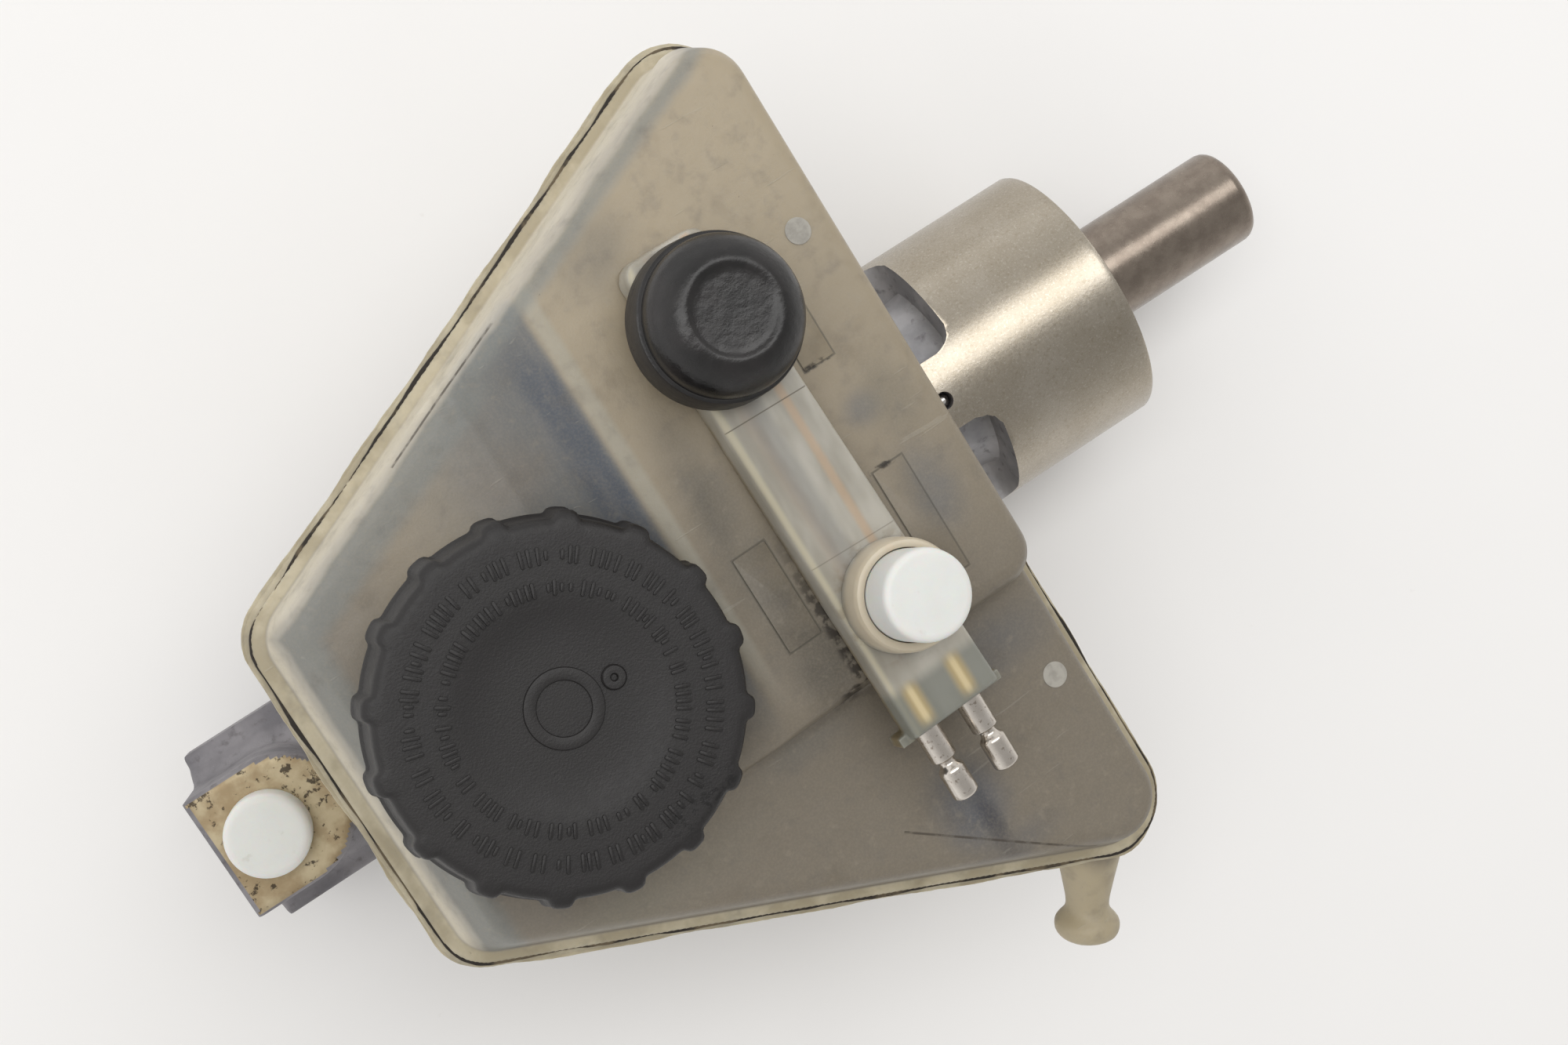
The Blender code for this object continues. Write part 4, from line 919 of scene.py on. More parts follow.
def casting_cutters():
    """Bore, ports, reservoir seats and the holes for pins and studs."""
    top = (TOP_PORT_X, 0.0, TOP_PORT_FACE)
    side = (SIDE_PORT_X, SIDE_PORT_FACE, 0.0)
    cutters = [
        rod("bore", BORE_R, (BORE_FRONT, 0.0, 0.0), (2.0, 0.0, 0.0)),
        rod("top_port", PORT_R, (top[0], 0.0, top[2] - PORT_DEPTH), (top[0], 0.0, top[2] + 2.0)),
        rod("side_port", PORT_R, (side[0], side[1] - PORT_DEPTH, 0.0), (side[0], side[1] + 2.0, 0.0)),
        rod("pin_hole", PIN_R + GAP, (LUG_X, -10.0, LUG_Z), (LUG_X, 10.0, LUG_Z)),
        rod("stop_hole", 2.0 + GAP, (STOP_X, 0.0, -25.0), (STOP_X, 0.0, -5.0)),
    ]
    for x in SEAT_X:
        cutters.append(rod("seat", SEAT_R, (x, 0.0, 15.5), (x, 0.0, SEAT_TOP + 2.0)))
    for y in (-EAR_OFFSET, EAR_OFFSET):
        cutters.append(rod("stud_hole", STUD_HOLE_R, (-14.0, y, 0.0), (2.0, y, 0.0)))
    return cutters


def pocket_cutter(start, end, mat):
    """One relief pocket between two webs, with a rounded rear wall."""
    rings = []
    for x, shrink in ((-1.6, 0.0), (POCKET_LENGTH - 5.0, 0.0), (POCKET_LENGTH - 2.4, 0.03),
                      (POCKET_LENGTH - 1.0, 0.07), (POCKET_LENGTH, 0.15)):
        outer = arc((0.0, 0.0), BARREL_R + 6.0, start + shrink, end - shrink, 24)
        inner = arc((0.0, 0.0), POCKET_FLOOR_R + 12.0 * shrink, end - shrink, start + shrink, 24)
        rings.append([(x + 0.4, y, z) for y, z in outer + inner])
    return paint(loft("pocket", rings), mat)


def barrel(mats):
    """The machined barrel behind the flange, crisp-edged, with its cast pockets."""
    rear, housing = BARREL_REAR, SEAL_HOUSING_R
    pitch = (rear - 0.4) / BARREL_ROWS
    rows = [(row * pitch - 0.4, BARREL_R) for row in range(BARREL_ROWS + 1)]
    profile = [(-1.0, housing), (-1.0, BARREL_R - 0.6)] + rows + [
        (rear - 0.3, BARREL_R - 0.25), (rear, BARREL_R - 0.9), (rear, housing + 0.8), (rear - 0.8, housing),
        (CIRCLIP_X + 1.0, housing), (CIRCLIP_X + 1.0, housing + 1.4),
        (CIRCLIP_X - 1.0, housing + 1.4), (CIRCLIP_X - 1.0, housing),
        (SEAL_HOUSING_FRONT, housing), (SEAL_HOUSING_FRONT, BORE_R), (-1.0, BORE_R),
    ]
    solid = paint(turned("barrel", profile, (0.0, 0.0, 0.0), (1.0, 0.0, 0.0), 192), mats["machined"])
    quarter = math.pi / 2.0
    cutters = []
    for side in (0.0, math.pi):
        for start, end in ((quarter - POCKET_END, quarter - POCKET_START),
                           (quarter + POCKET_START, quarter + POCKET_END)):
            cutters.append(pocket_cutter(start + side, end + side, mats["pocket"]))
    hole = rod("ball_hole", 1.9, (BALL[0], BALL[1], 25.0), (BALL[0], BALL[1], 33.0))
    cutters.append(paint(hole, mats["cast"]))
    return crisp(combine(solid, cutters, "DIFFERENCE"), 0.22)


def casting(mats):
    """The whole cylinder casting: softened cast front and crisp machined barrel."""
    body = combine(tube_solid(), casting_additions(), "UNION")
    body = combine(body, casting_cutters(), "DIFFERENCE")
    body = soften(body, 0.7, 5)
    paint(body, mats["cast"], mats["stained"], mats["machined"])
    square = 0.94
    for polygon in body.data.polygons:
        centre = polygon.center / MM
        if polygon.normal.z > square and centre.z > TOP_PORT_FACE - 0.8:
            polygon.material_index = 1
        elif abs(polygon.normal.x) > square and (centre.x > -0.8 or centre.x < BODY_FRONT + 0.6):
            polygon.material_index = 2
        elif polygon.normal.y > square and centre.y > SIDE_PORT_FACE - 0.8:
            polygon.material_index = 2
    whole = join("casting", [body, barrel(mats)])
    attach(whole, "cylinder")
    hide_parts("cylinder_body")


def sphere_profile(radius, steps=16):
    """Half a circle, pole to pole."""
    angles = [math.pi * i / steps for i in range(steps + 1)]
    inner = [(-radius * math.cos(a), radius * math.sin(a)) for a in angles[1:-1]]
    return [(-radius, 0.0), *inner, (radius, 0.0)]


def small_casting_parts(mats):
    """Ball, stop screw, cross pin, guide bush and the seal rings under the reservoir."""
    ball = turned("ball", sphere_profile(1.5), BALL, steps=32)
    settle(ball, mats["steel"], "cylinder", "bright_steel", "ball_plug")
    profile = [(-24.5, 0.0), (-24.5, 4.2), (-21.8, 4.2), (-21.8, 2.0), (-4.0, 2.0), (-4.0, 0.0)]
    stop = turned("stop_screw", eased(profile, 0.06, 2), (STOP_X, 0.0, 0.0), steps=48)
    settle(stop, mats["steel"], "cylinder", "bright_steel", "stop_pin")
    end = [(12.1, PIN_R), (12.5, PIN_R - 0.4), (12.5, 0.0)]
    cross = [(-along, radius) for along, radius in reversed(end)] + end
    pin = turned("cross_pin", cross, (LUG_X, 0.0, LUG_Z), (0.0, 1.0, 0.0), 48)
    settle(pin, mats["steel"], "cylinder", "bright_steel", "reservoir_pin")
    inner = PLUNGER_R + GAP
    outer = SEAL_HOUSING_R - GAP
    bush = [
        (41.6, inner), (41.6, outer), (49.6, outer), (49.8, outer - 0.3), (49.8, inner + 1.0),
        (48.8, inner),
    ]
    guide = turned("guide_bush", bush, (0.0, 0.0, 0.0), (1.0, 0.0, 0.0))
    settle(guide, mats["black"], "cylinder", "black_plastic", "rear_guide_bush")
    grommet = [
        (16.0, SPIGOT_R + GAP), (16.0, SEAT_R - GAP), (SEAT_TOP + GAP, SEAT_R - GAP),
        (SEAT_TOP + GAP, SEAT_R + 2.6), (SEAT_TOP + 2.2, SEAT_R + 2.5), (SEAT_TOP + 3.1, SEAT_R + 1.4),
        (SEAT_TOP + 3.4, SEAT_R), (SEAT_TOP + 3.4, SPIGOT_R + GAP),
    ]
    for place, x in zip(("front", "rear"), SEAT_X):
        ring = turned("seal_ring_" + place, grommet, (x, 0.0, 0.0))
        settle(ring, mats["rubber"], "cylinder", "black_rubber", "grommet_" + place)


def outlet_plugs(mats):
    """Push-in transit plugs: a round head with a soft edge on a slim stem."""
    profile = [
        (-8.0, 0.0), (-8.0, 4.0), (-7.2, 4.9), (-6.0, 5.1), (GAP, 5.1), (GAP, 7.9), (0.7, 8.3),
        (4.6, 8.3), (5.4, 8.15), (5.9, 7.75), (6.15, 7.2), (6.2, 6.5), (6.2, 0.0),
    ]
    top = turned("transit_plug_top", profile, (TOP_PORT_X, 0.0, TOP_PORT_FACE))
    settle(top, mats["white"], "outlet_plug_top", "white_plastic", "outlet_plug_top")
    side = turned("transit_plug_side", profile, (SIDE_PORT_X, SIDE_PORT_FACE, 0.0), (0.0, 1.0, 0.0))
    settle(side, mats["white"], "outlet_plug_side", "white_plastic", "outlet_plug_side")


def plunger(mats):
    """The long plunger that stands out of the barrel, and the piston head on its front."""
    end = PLUNGER_END
    front = PRIMARY_FRONT
    head = 12.45
    groove = 9.3
    profile = [
        (front, 0.0), (front, 11.6), (front + 0.8, head),
        (-21.3, head), (-21.3, groove), (-16.7, groove), (-16.7, head),
        (-9.3, head), (-9.3, groove), (-4.7, groove), (-4.7, head), (-0.8, head), (0.0, 11.6),
        (0.2, PLUNGER_R), (end - 2.2, PLUNGER_R), (end - 1.3, PLUNGER_R - 0.2),
        (end - 0.6, PLUNGER_R - 0.65), (end - 0.15, PLUNGER_R - 1.3), (end, PLUNGER_R - 2.0), (end, 7.4),
        (end - 1.2, 5.3), (end - 1.8, 5.2), (end - 24.0, 5.2), (end - 28.0, 0.0),
    ]
    piece = turned("plunger", profile, (0.0, 0.0, 0.0), (1.0, 0.0, 0.0), 128)
    settle(piece, mats["bronze"], "primary_piston", "bronze_anodised", "primary_piston")


def coil(name, mean_r, wire_r, start, axis, length, turns):
    """A round-wire compression spring of the given overall length, from start along axis."""
    basis = Vector((0.0, 0.0, 1.0)).rotation_difference(Vector(axis)).to_matrix()
    steps, sides = 48, 12
    count = int(turns * steps)
    rings = []
    for i in range(count + 1):
        share = i / count
        angle = 2.0 * math.pi * turns * share
        radial = Vector((math.cos(angle), math.sin(angle), 0.0))
        middle = radial * mean_r + Vector((0.0, 0.0, wire_r + (length - 2.0 * wire_r) * share))
        ring = []
        for k in range(sides):
            a = 2.0 * math.pi * k / sides
            p = middle + radial * (wire_r * math.cos(a)) + Vector((0.0, 0.0, wire_r * math.sin(a)))
            ring.append(tuple(Vector(start) + basis @ p))
        rings.append(ring)
    return loft(name, rings)


def springs(mats):
    """The three springs, each a coil of round wire."""
    low, high = SECONDARY_X
    bores = (
        ("return_spring_rear", 8.9, 1.3, high + 2.0, PRIMARY_FRONT - 0.4, 6.5, "secondary_piston",
         "primary_piston_slide", PRIMARY_STROKE - SECONDARY_STROKE, "primary_spring"),
        ("return_spring_front", 8.6, 1.2, BORE_FRONT + 0.4, low - 1.9, 5.5, "cylinder",
         "secondary_piston_slide", SECONDARY_STROKE, "secondary_spring"),
    )
    along = (1.0, 0.0, 0.0)
    for name, mean_r, wire_r, start, end, turns, body, joint, travel, node in bores:
        length = end - start
        spring = coil(name, mean_r, wire_r, (start, 0.0, 0.0), along, length, turns)
        settle(spring, mats["spring"], body, "spring_steel", node)
        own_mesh(spring)
    length = BUTTON_SPRING_LENGTH
    foot = (*BOOT_UV, BAR_TOP + 0.4)
    spring = on_seam(coil("button_spring", 4.2, 0.5, foot, (0.0, 0.0, 1.0), length, 4.0))
    settle(spring, mats["spring"], "cylinder", "spring_steel", "test_spring")
    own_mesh(spring)


# ---------------------------------------------------------------- reservoir

def floor_w(u, height):
    """The w of a level at the given world height."""
    return (height - SEAM_CENTRE[2] + u * math.sin(SEAM_LEAN)) / math.cos(SEAM_LEAN)


def seam_outline(front, sides, rear):
    """The seam's trapezoid with each edge moved inwards by its own distance."""
    corners = inset(SEAM_CORNERS, (front, sides, rear, sides))
    shrink = min(front, sides)
    return rounded(corners, [max(r - 0.7 * shrink, 3.0) for r in SEAM_RADII])


def low_tier(name, skin, top, bottom):
    """The upper shell's wide low part; skin is how far it stays inside the outer surface."""
    levels = (
        (bottom, FLANGE_LIP, FLANGE_LIP),
        (LOW_TIER_W - 5.0, 6.4, 4.6),
        (LOW_TIER_W - 1.6, 8.6, 5.6),
        (LOW_TIER_W - 0.4, 9.6, 6.6),
        (LOW_TIER_W, 11.2, 8.2),
    )
    rings = []
    for w, front, side in levels:
        height = w if w == bottom else w - top
        rings.append([(u, v, height) for u, v in seam_outline(front + skin, side + skin, side + skin)])
    return loft(name, rings)


def high_tier(name, skin, bottom):
    """The raised part under the contact bar, with a front that slopes down towards the cap."""
    levels = ((bottom, 0.0), (HIGH_TIER_W - 3.0, 0.0), (HIGH_TIER_W - 0.9, 0.7),
              (HIGH_TIER_W - 0.2, 1.8), (HIGH_TIER_W, 3.2))
    rings = []
    for w, edge in levels:
        fall = HIGH_TIER_W - w
        side = inset(SEAM_CORNERS, (0.0, 0.0, 0.0, 6.4 - 0.14 * fall + edge + skin))
        left_low, left_high = side[0], side[3]
        slope = (left_high[1] - left_low[1]) / (left_high[0] - left_low[0])
        front = TIER_FRONT_U - 1.7 * fall + edge * 0.6 + skin
        rear = TIER_REAR_U + 0.17 * fall + 1.0 - edge - skin
        near = TIER_SIDE_V - 0.2 * fall - 1.0 + edge + skin
        corners = [
            (front, near),
            (rear, near),
            (rear, left_low[1] + slope * (rear - left_low[0])),
            (front, left_low[1] + slope * (front - left_low[0])),
        ]
        radii = [max(r - 0.5 * skin, 1.5) for r in (3.0, 6.5, 8.0, 6.0)]
        rings.append([(u, v, w - skin if w > bottom else w) for u, v in rounded(corners, radii)])
    return loft(name, rings)


def seam_lip(name, low, high, back):
    """A plate with the seam's outline, back from its edge."""
    return prism(name, seam_outline(back, back, back), low, high)


def neck_thread():
    """A raised single-start thread of a turn and a half round the filler neck."""
    sides = ((-0.8, -1.2), (0.9, -0.3), (0.9, 0.3), (-0.8, 1.2))
    steps = 160
    rings = []
    for i in range(steps + 1):
        share = i / steps
        angle = 2.0 * math.pi * THREAD_TURNS * share
        w = NECK_TOP - 9.4 + THREAD_PITCH * THREAD_TURNS * share
        ring = []
        for out, up in sides:
            r = NECK_R + out
            ring.append((NECK_UV[0] + r * math.cos(angle), NECK_UV[1] + r * math.sin(angle), w + up))
        rings.append(ring)
    return loft("neck_thread", rings)


def upper_shell(mats):
    """The reservoir's stepped top with its filler neck, moulded in one."""
    shell = seam_lip("reservoir_top", GAP / 2.0, LIP_THICK, LIP_STEP)
    centre = (*NECK_UV, 0.0)
    neck = [(8.0, 0.0), (8.0, NECK_R), (NECK_TOP - 0.6, NECK_R), (NECK_TOP, NECK_R - 0.6), (NECK_TOP, 0.0)]
    mouth = [(-6.0, 0.0), (-6.0, NECK_R - WALL), (NECK_TOP + 3.0, NECK_R - WALL), (NECK_TOP + 3.0, 0.0)]
    forms = [low_tier("low_form", 0.0, 0.0, 1.0), high_tier("high_form", 0.0, 6.0),
             turned("neck", neck, centre), neck_thread()]
    hollows = [low_tier("low_hollow", WALL, WALL, -4.0), high_tier("high_hollow", WALL, 6.0),
               turned("mouth", mouth, centre), rod("button_hole", 2.6, (*BOOT_UV, 15.0), (*BOOT_UV, 26.0))]
    combine(combine(shell, forms, "UNION"), hollows, "DIFFERENCE")
    soften(shell, 0.55, 6)
    settle(on_seam(shell), mats["nylon"], "cylinder", "aged_nylon", "reservoir_upper_shell")


def tub(name, skin, top, floor_height):
    """The lower shell's deep form, whose floor is parallel to the bore."""
    edge = FLANGE_LIP + skin
    rings = [[(u, v, top) for u, v in seam_outline(edge, edge, edge)]]
    for rise, back in ((4.0, 5.4), (1.2, 6.4), (0.0, 9.0)):
        outline = seam_outline(back + skin, back + skin, back + skin)
        rings.append([(u, v, floor_w(u, floor_height) + rise) for u, v in outline])
    return loft(name, rings)


def nipple_direction():
    """Along the outward normal of the seam's -Y edge, drooping below it."""
    near, far = (Vector(SEAM_CORNERS[k]) for k in (1, 2))
    run = (far - near).normalized()
    level = Vector((run.y, -run.x, 0.0)) * math.cos(NIPPLE_DROOP)
    return level - Vector((0.0, 0.0, 1.0)) * math.sin(NIPPLE_DROOP)


def lower_shell(mats):
    """The reservoir's tub with its feed nipple, two spigots and fork."""
    shell = seam_lip("reservoir_base", -LIP_THICK, -GAP / 2.0, 0.0)
    profile = [
        (-5.0, 0.0), (-5.0, 6.9), (3.0, 6.9), (10.0, 5.4), (14.0, 4.6), (16.2, 4.4), (17.4, 4.9),
        (18.8, 6.2), (19.5, 6.7), (20.4, 6.8), (21.4, 6.7), (22.4, 6.2), (NIPPLE_LENGTH, 5.0),
        (NIPPLE_LENGTH, 0.0),
    ]
    out = nipple_direction()
    forms = [tub("tub_form", 0.0, -1.0, FLOOR_Z), turned("nipple", profile, NIPPLE_ROOT, out)]
    hollows = [tub("tub_hollow", WALL, 3.0, FLOOR_Z + WALL)]
    start = Vector(NIPPLE_ROOT) - out * 9.0
    end = Vector(NIPPLE_ROOT) + out * (NIPPLE_LENGTH + 2.0)
    hollows.append(rod("nipple_bore", NIPPLE_BORE_R, start, end))
    for x in SEAT_X:
        forms.append(to_seam(rod("spigot", SPIGOT_R, (x, 0.0, SPIGOT_END), (x, 0.0, FLOOR_Z + 1.5))))
        inner = rod("spigot_bore", SPIGOT_R - WALL, (x, 0.0, SPIGOT_END - 2.0), (x, 0.0, FLOOR_Z + 6.0))
        hollows.append(to_seam(inner))
    for low in (-9.0, 4.5):
        fork = box("fork", (LUG_X - 6.0, low, LUG_Z - 4.5), (LUG_X + 6.0, low + 4.5, FLOOR_Z + 1.0))
        forms.append(to_seam(fork))
    hollows.append(to_seam(rod("fork_hole", PIN_R + GAP, (LUG_X, -12.0, LUG_Z), (LUG_X, 12.0, LUG_Z))))
    combine(combine(shell, forms, "UNION"), hollows, "DIFFERENCE")
    soften(shell, 0.65, 5)
    settle(on_seam(shell), mats["nylon"], "cylinder", "aged_nylon", "reservoir_lower_shell")


def ragged_ring(name, back, reach, heights, seed):
    """A thin skirt of moulding flash round the seam. It starts back from the seam's edge, and
    stands out by reach[0] plus or minus reach[1]."""
    outline = seam_outline(back, back, back)
    dense = []
    for a, b in zip(outline, outline[1:] + outline[:1]):
        count = max(1, int((Vector(b) - Vector(a)).length))
        dense += [Vector(a).lerp(Vector(b), i / count) for i in range(count)]
    rings = []
    count = len(dense)
    low, high = heights
    for k, point in enumerate(dense):
        run = (dense[(k + 1) % count] - dense[k - 1]).normalized()
        out = Vector((-run.y, run.x))
        if out.dot(point) < 0.0:
            out = -out
        ragged = noise.noise(Vector((point.x * 0.09, point.y * 0.09, seed)))
        fine = noise.noise(Vector((point.x * 0.6, point.y * 0.6, seed + 4.0)))
        edge = reach[0] + reach[1] * ragged + 0.12 * fine
        section = ((-1.2, low), (edge, low), (edge + 0.06, (low + high) / 2.0), (edge, high), (-1.2, high))
        rings.append([(*(point + out * outwards), up) for outwards, up in section])
    points = [p for ring in rings for p in ring]
    sides = len(rings[0])
    numbers = [list(range(k * sides, (k + 1) * sides)) for k in range(count)]
    return add_object(name, points, bridge(numbers, True))


def seam_flash(mats):
    """The welded joint between the shells: dirt along the upper lip, flash on the lower one."""
    dirt = ragged_ring("seam_flash", LIP_STEP, (0.3, 0.6), (-0.3, LIP_THICK - 0.5), 3.0)
    settle(on_seam(dirt), mats["dirt"], "cylinder", "aged_nylon")
    skin = ragged_ring("lip_flash", 0.0, (0.15, 0.6), (-LIP_THICK + 0.5, -LIP_THICK + 1.4), 9.0)
    settle(on_seam(skin), mats["nylon"], "cylinder", "aged_nylon")


def moulding_marks(mats):
    """Faint raised pads and round marks left by the mould on the reservoir's top."""
    for name, (low, high) in zip(("pad_front", "pad_rear_left", "pad_rear_right"), PADS):
        outline = rounded([low, (high[0], low[1]), high, (low[0], high[1])], (0.4,) * 4, 4)
        pad = crisp(prism(name, outline, HIGH_TIER_W - 0.6, HIGH_TIER_W + 0.16), 0.08, flat=True)
        settle(on_seam(pad), mats["nylon"], "cylinder", "aged_nylon")
    profile = [(-0.6, 0.0), (-0.6, 2.5), (0.1, 2.5), (0.16, 2.42), (0.16, 0.0)]
    for name, centre in zip(("mark_high", "mark_low"), ROUND_MARKS):
        mark = turned(name, profile, centre, steps=48)
        settle(on_seam(mark), mats["mark"], "cylinder", "aged_nylon")


def rib_height(angle):
    """How far the cap's outline stands out at an angle: a rounded lobe once per rib."""
    pitch = 2.0 * math.pi / CAP_RIBS
    place_in_pitch = (angle / pitch) % 1.0 - 0.5
    return max(0.0, 1.0 - (place_in_pitch / 0.19) ** 4)


def raised_bar(angle, radius, length, width, base, top):
    """One rounded bar that stands up from the cap's top, pointing at the cap's centre."""
    outline = rounded([(-length / 2, -width / 2), (length / 2, -width / 2),
                       (length / 2, width / 2), (-length / 2, width / 2)], (width * 0.45,) * 4, 4)
    rings = []
    for height, shrink in ((base, 0.0), (top - 0.12, 0.0), (top - 0.03, 0.08), (top, 0.2)):
        ring = []
        for x, y in outline:
            reach = radius + x * (1.0 - shrink * width / length)
            across = y * (1.0 - shrink)
            ring.append((reach * math.cos(angle) - across * math.sin(angle),
                         reach * math.sin(angle) + across * math.cos(angle), height))
        rings.append(ring)
    return loft("raised_bar", rings)


def cap_marks(top):
    """Two rings of plain raised bars, grouped unevenly, round the cap's top."""
    draw = random.Random(4)
    bars = []
    for radius, length, pitch in ((25.4, 3.1, 0.052), (20.0, 2.7, 0.062)):
        angle = 0.0
        while angle < 2.0 * math.pi - pitch:
            run = draw.randint(2, 6)
            for _ in range(run):
                if angle > 2.0 * math.pi - pitch:
                    break
                bars.append(raised_bar(angle, radius, length * draw.choice((0.55, 1.0, 1.0, 1.0)),
                                       0.62, top - 0.6, top + 0.32))
                angle += pitch * draw.choice((0.8, 1.0, 1.2))
            angle += pitch * 0.9
    return bars


def filler_cap(mats):
    """The ribbed screw cap: dished top with a vent boss and a plain centre disc."""
    low, high = CAP_SKIRT_W, CAP_TOP_W
    outside = [
        (low, CAP_SKIRT_R - 0.5, 0.8), (low + 0.4, CAP_SKIRT_R, 1.0), (low + 2.2, CAP_SKIRT_R, 1.0),
        (low + 2.8, CAP_SKIRT_R - 0.5, 1.15), (high - 2.4, CAP_R + 0.1, 1.3),
        (high - 1.4, CAP_R - 0.05, 1.3), (high - 0.8, CAP_R - 0.3, 1.25), (high - 0.35, CAP_R - 0.75, 1.1),
        (high - 0.08, CAP_R - 1.3, 0.7), (high, CAP_R - 2.1, 0.0),
    ]
    dish = (
        (0.0, CAP_R - 3.4), (0.0, 22.0), (0.05, 19.5), (0.2, 18.0), (0.5, 16.4), (0.8, 14.4), (1.0, 12.2),
        (1.08, 10.0), (1.1, 7.2), (1.1, 6.9), (0.75, 6.75), (0.7, 6.6), (0.7, 4.9), (0.76, 4.75),
        (1.1, 4.6), (1.1, 0.0),
    )
    under = [(high - 2.4, 0.0), (high - 2.4, NECK_R + 1.6), (low, NECK_R + 1.6)]
    ribs = {h: rib for h, r, rib in outside}

    def shape(h, r, angle):
        return r + ribs.get(h, 0.0) * CAP_RIB * rib_height(angle) if r > CAP_R - 2.0 else r

    profile = [(h, r) for h, r, _ in outside] + [(high - depth, r) for depth, r in dish] + under
    body = turned("cap_body", profile, (0.0, 0.0, 0.0), steps=CAP_RIBS * 22, shape=shape)
    vent = [
        (-1.6, 0.0), (-1.6, 2.25), (-0.75, 2.15), (-0.45, 1.9), (-0.4, 1.5), (-0.45, 0.75), (-0.7, 0.55),
        (-1.3, 0.5), (-1.3, 0.0),
    ]
    boss = turned("vent", vent, (9.7, -0.3, high), steps=40)
    cap = join("cap", [body, boss, *cap_marks(high)])
    cap.data.set_sharp_from_angle(angle=math.radians(40.0))
    cap.data.transform(Matrix.Translation(Vector((*NECK_UV, 0.0)) * MM))
    settle(on_seam(cap), mats["black"], "cap", "black_plastic", "filler_cap")


# ---------------------------------------------------------------- level sensing

def bar_outline(skin):
    """The contact bar's outline in (u, v), moved inwards by skin."""
    corners = [(20.2, BAR_END_V[0]), (40.2, BAR_END_V[0]), (37.4, BAR_END_V[1]), (19.4, BAR_END_V[1])]
    return rounded(inset(corners, (skin,) * 4), [max(r - skin, 0.6) for r in (0.8, 0.8, 3.6, 3.6)], 8)


def contact_bar(mats):
    """The moulded bar over the contacts: hollow over the tank, solid where it holds the pins."""
    base = HIGH_TIER_W + GAP
    end = BAR_END_V[0]
    levels = ((base, 0.0), (BAR_TOP - 1.6, 0.3), (BAR_TOP - 0.9, 0.45), (BAR_TOP - 0.4, 0.8),
              (BAR_TOP - 0.1, 1.3), (BAR_TOP, 2.0))
    rings = [[(u, v, w) for u, v in bar_outline(edge)] for w, edge in levels]
    bar = loft("sensor_bar", rings)
    nose = box("bar_nose", (21.0, end + 0.6, 19.0), (39.4, TIER_SIDE_V - 5.0, base + 2.0))
    ears = box("bar_ears", (18.6, end - 0.4, 18.6), (41.6, end + 1.6, 24.0))
    combine(bar, [nose, ears], "UNION")
    low = (22.0, TIER_SIDE_V - 1.9, base - 2.0)
    cutters = [box("bar_hollow", low, (36.0, BAR_END_V[1] - 2.4, BAR_TOP - 1.5))]
    for u in RAIL_U:
        start = (u, TIER_SIDE_V + 1.0, TERMINAL_W)
        cutters.append(rod("pin_bore", TERMINAL_R + GAP, start, (u, end - 4.0, TERMINAL_W)))
    cutters.append(rod("stem_hole", 2.6, (*BOOT_UV, 22.0), (*BOOT_UV, 32.0)))
    combine(bar, cutters, "DIFFERENCE")
    soften(bar, 0.3, 4)
    settle(on_seam(bar), mats["bar"], "cylinder", "aged_nylon", "contact_bar")


def terminal_pins(mats):
    """Round plated pins with a waisted groove and a rounded tip."""
    start = TIER_SIDE_V - 2.0
    length = start - TERMINAL_TIP_V
    r = TERMINAL_R
    tip = (
        (8.6, r), (8.4, r - 0.12), (8.3, r - 0.5), (8.0, r - 0.85), (7.5, r - 1.0), (7.0, r - 0.85),
        (6.5, r - 0.35), (6.1, r - 0.05), (5.7, r), (0.9, r), (0.55, r - 0.12), (0.15, r - 0.6),
        (0.0, r - 1.0), (0.0, 0.0),
    )
    profile = [(0.0, 0.0), (0.0, r)] + [(length - back, radius) for back, radius in tip]
    for place, u in zip(("front", "rear"), RAIL_U):
        pin = turned("contact_pin_" + place, profile, (u, start, TERMINAL_W), (0.0, -1.0, 0.0), 64)
        settle(on_seam(pin), mats["pin"], "cylinder", "plated_pin", "terminal_pin_" + place)


def test_boot(mats):
    """A domed rubber boot: plain skirt, moulded step, round shoulder and recessed flat top."""
    base = BAR_TOP + GAP
    outside = [
        (0.0, 15.0), (0.3, 15.25), (1.0, 15.3), (4.0, 15.15), (7.3, 14.95), (7.7, 14.8), (7.85, 14.4),
        (8.1, 14.15), (8.5, 14.1), (10.2, 14.05), (11.6, 13.75), (13.0, 13.0), (14.2, 11.9), (15.1, 10.8),
        (15.7, 9.8), (16.0, 9.0), (16.1, 8.4), (16.0, 7.9), (15.8, 7.5), (15.65, 7.0), (15.6, 6.0),
        (15.6, 0.0),
    ]
    inside = [(13.6, 0.0), (13.6, 8.4), (11.4, 11.4), (8.0, 12.8), (0.0, 13.2)]
    boot = turned("rubber_boot", outside + inside, (*BOOT_UV, base), steps=128)
    settle(on_seam(boot), mats["rubber"], "cylinder", "black_rubber", "test_boot")
    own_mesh(boot)


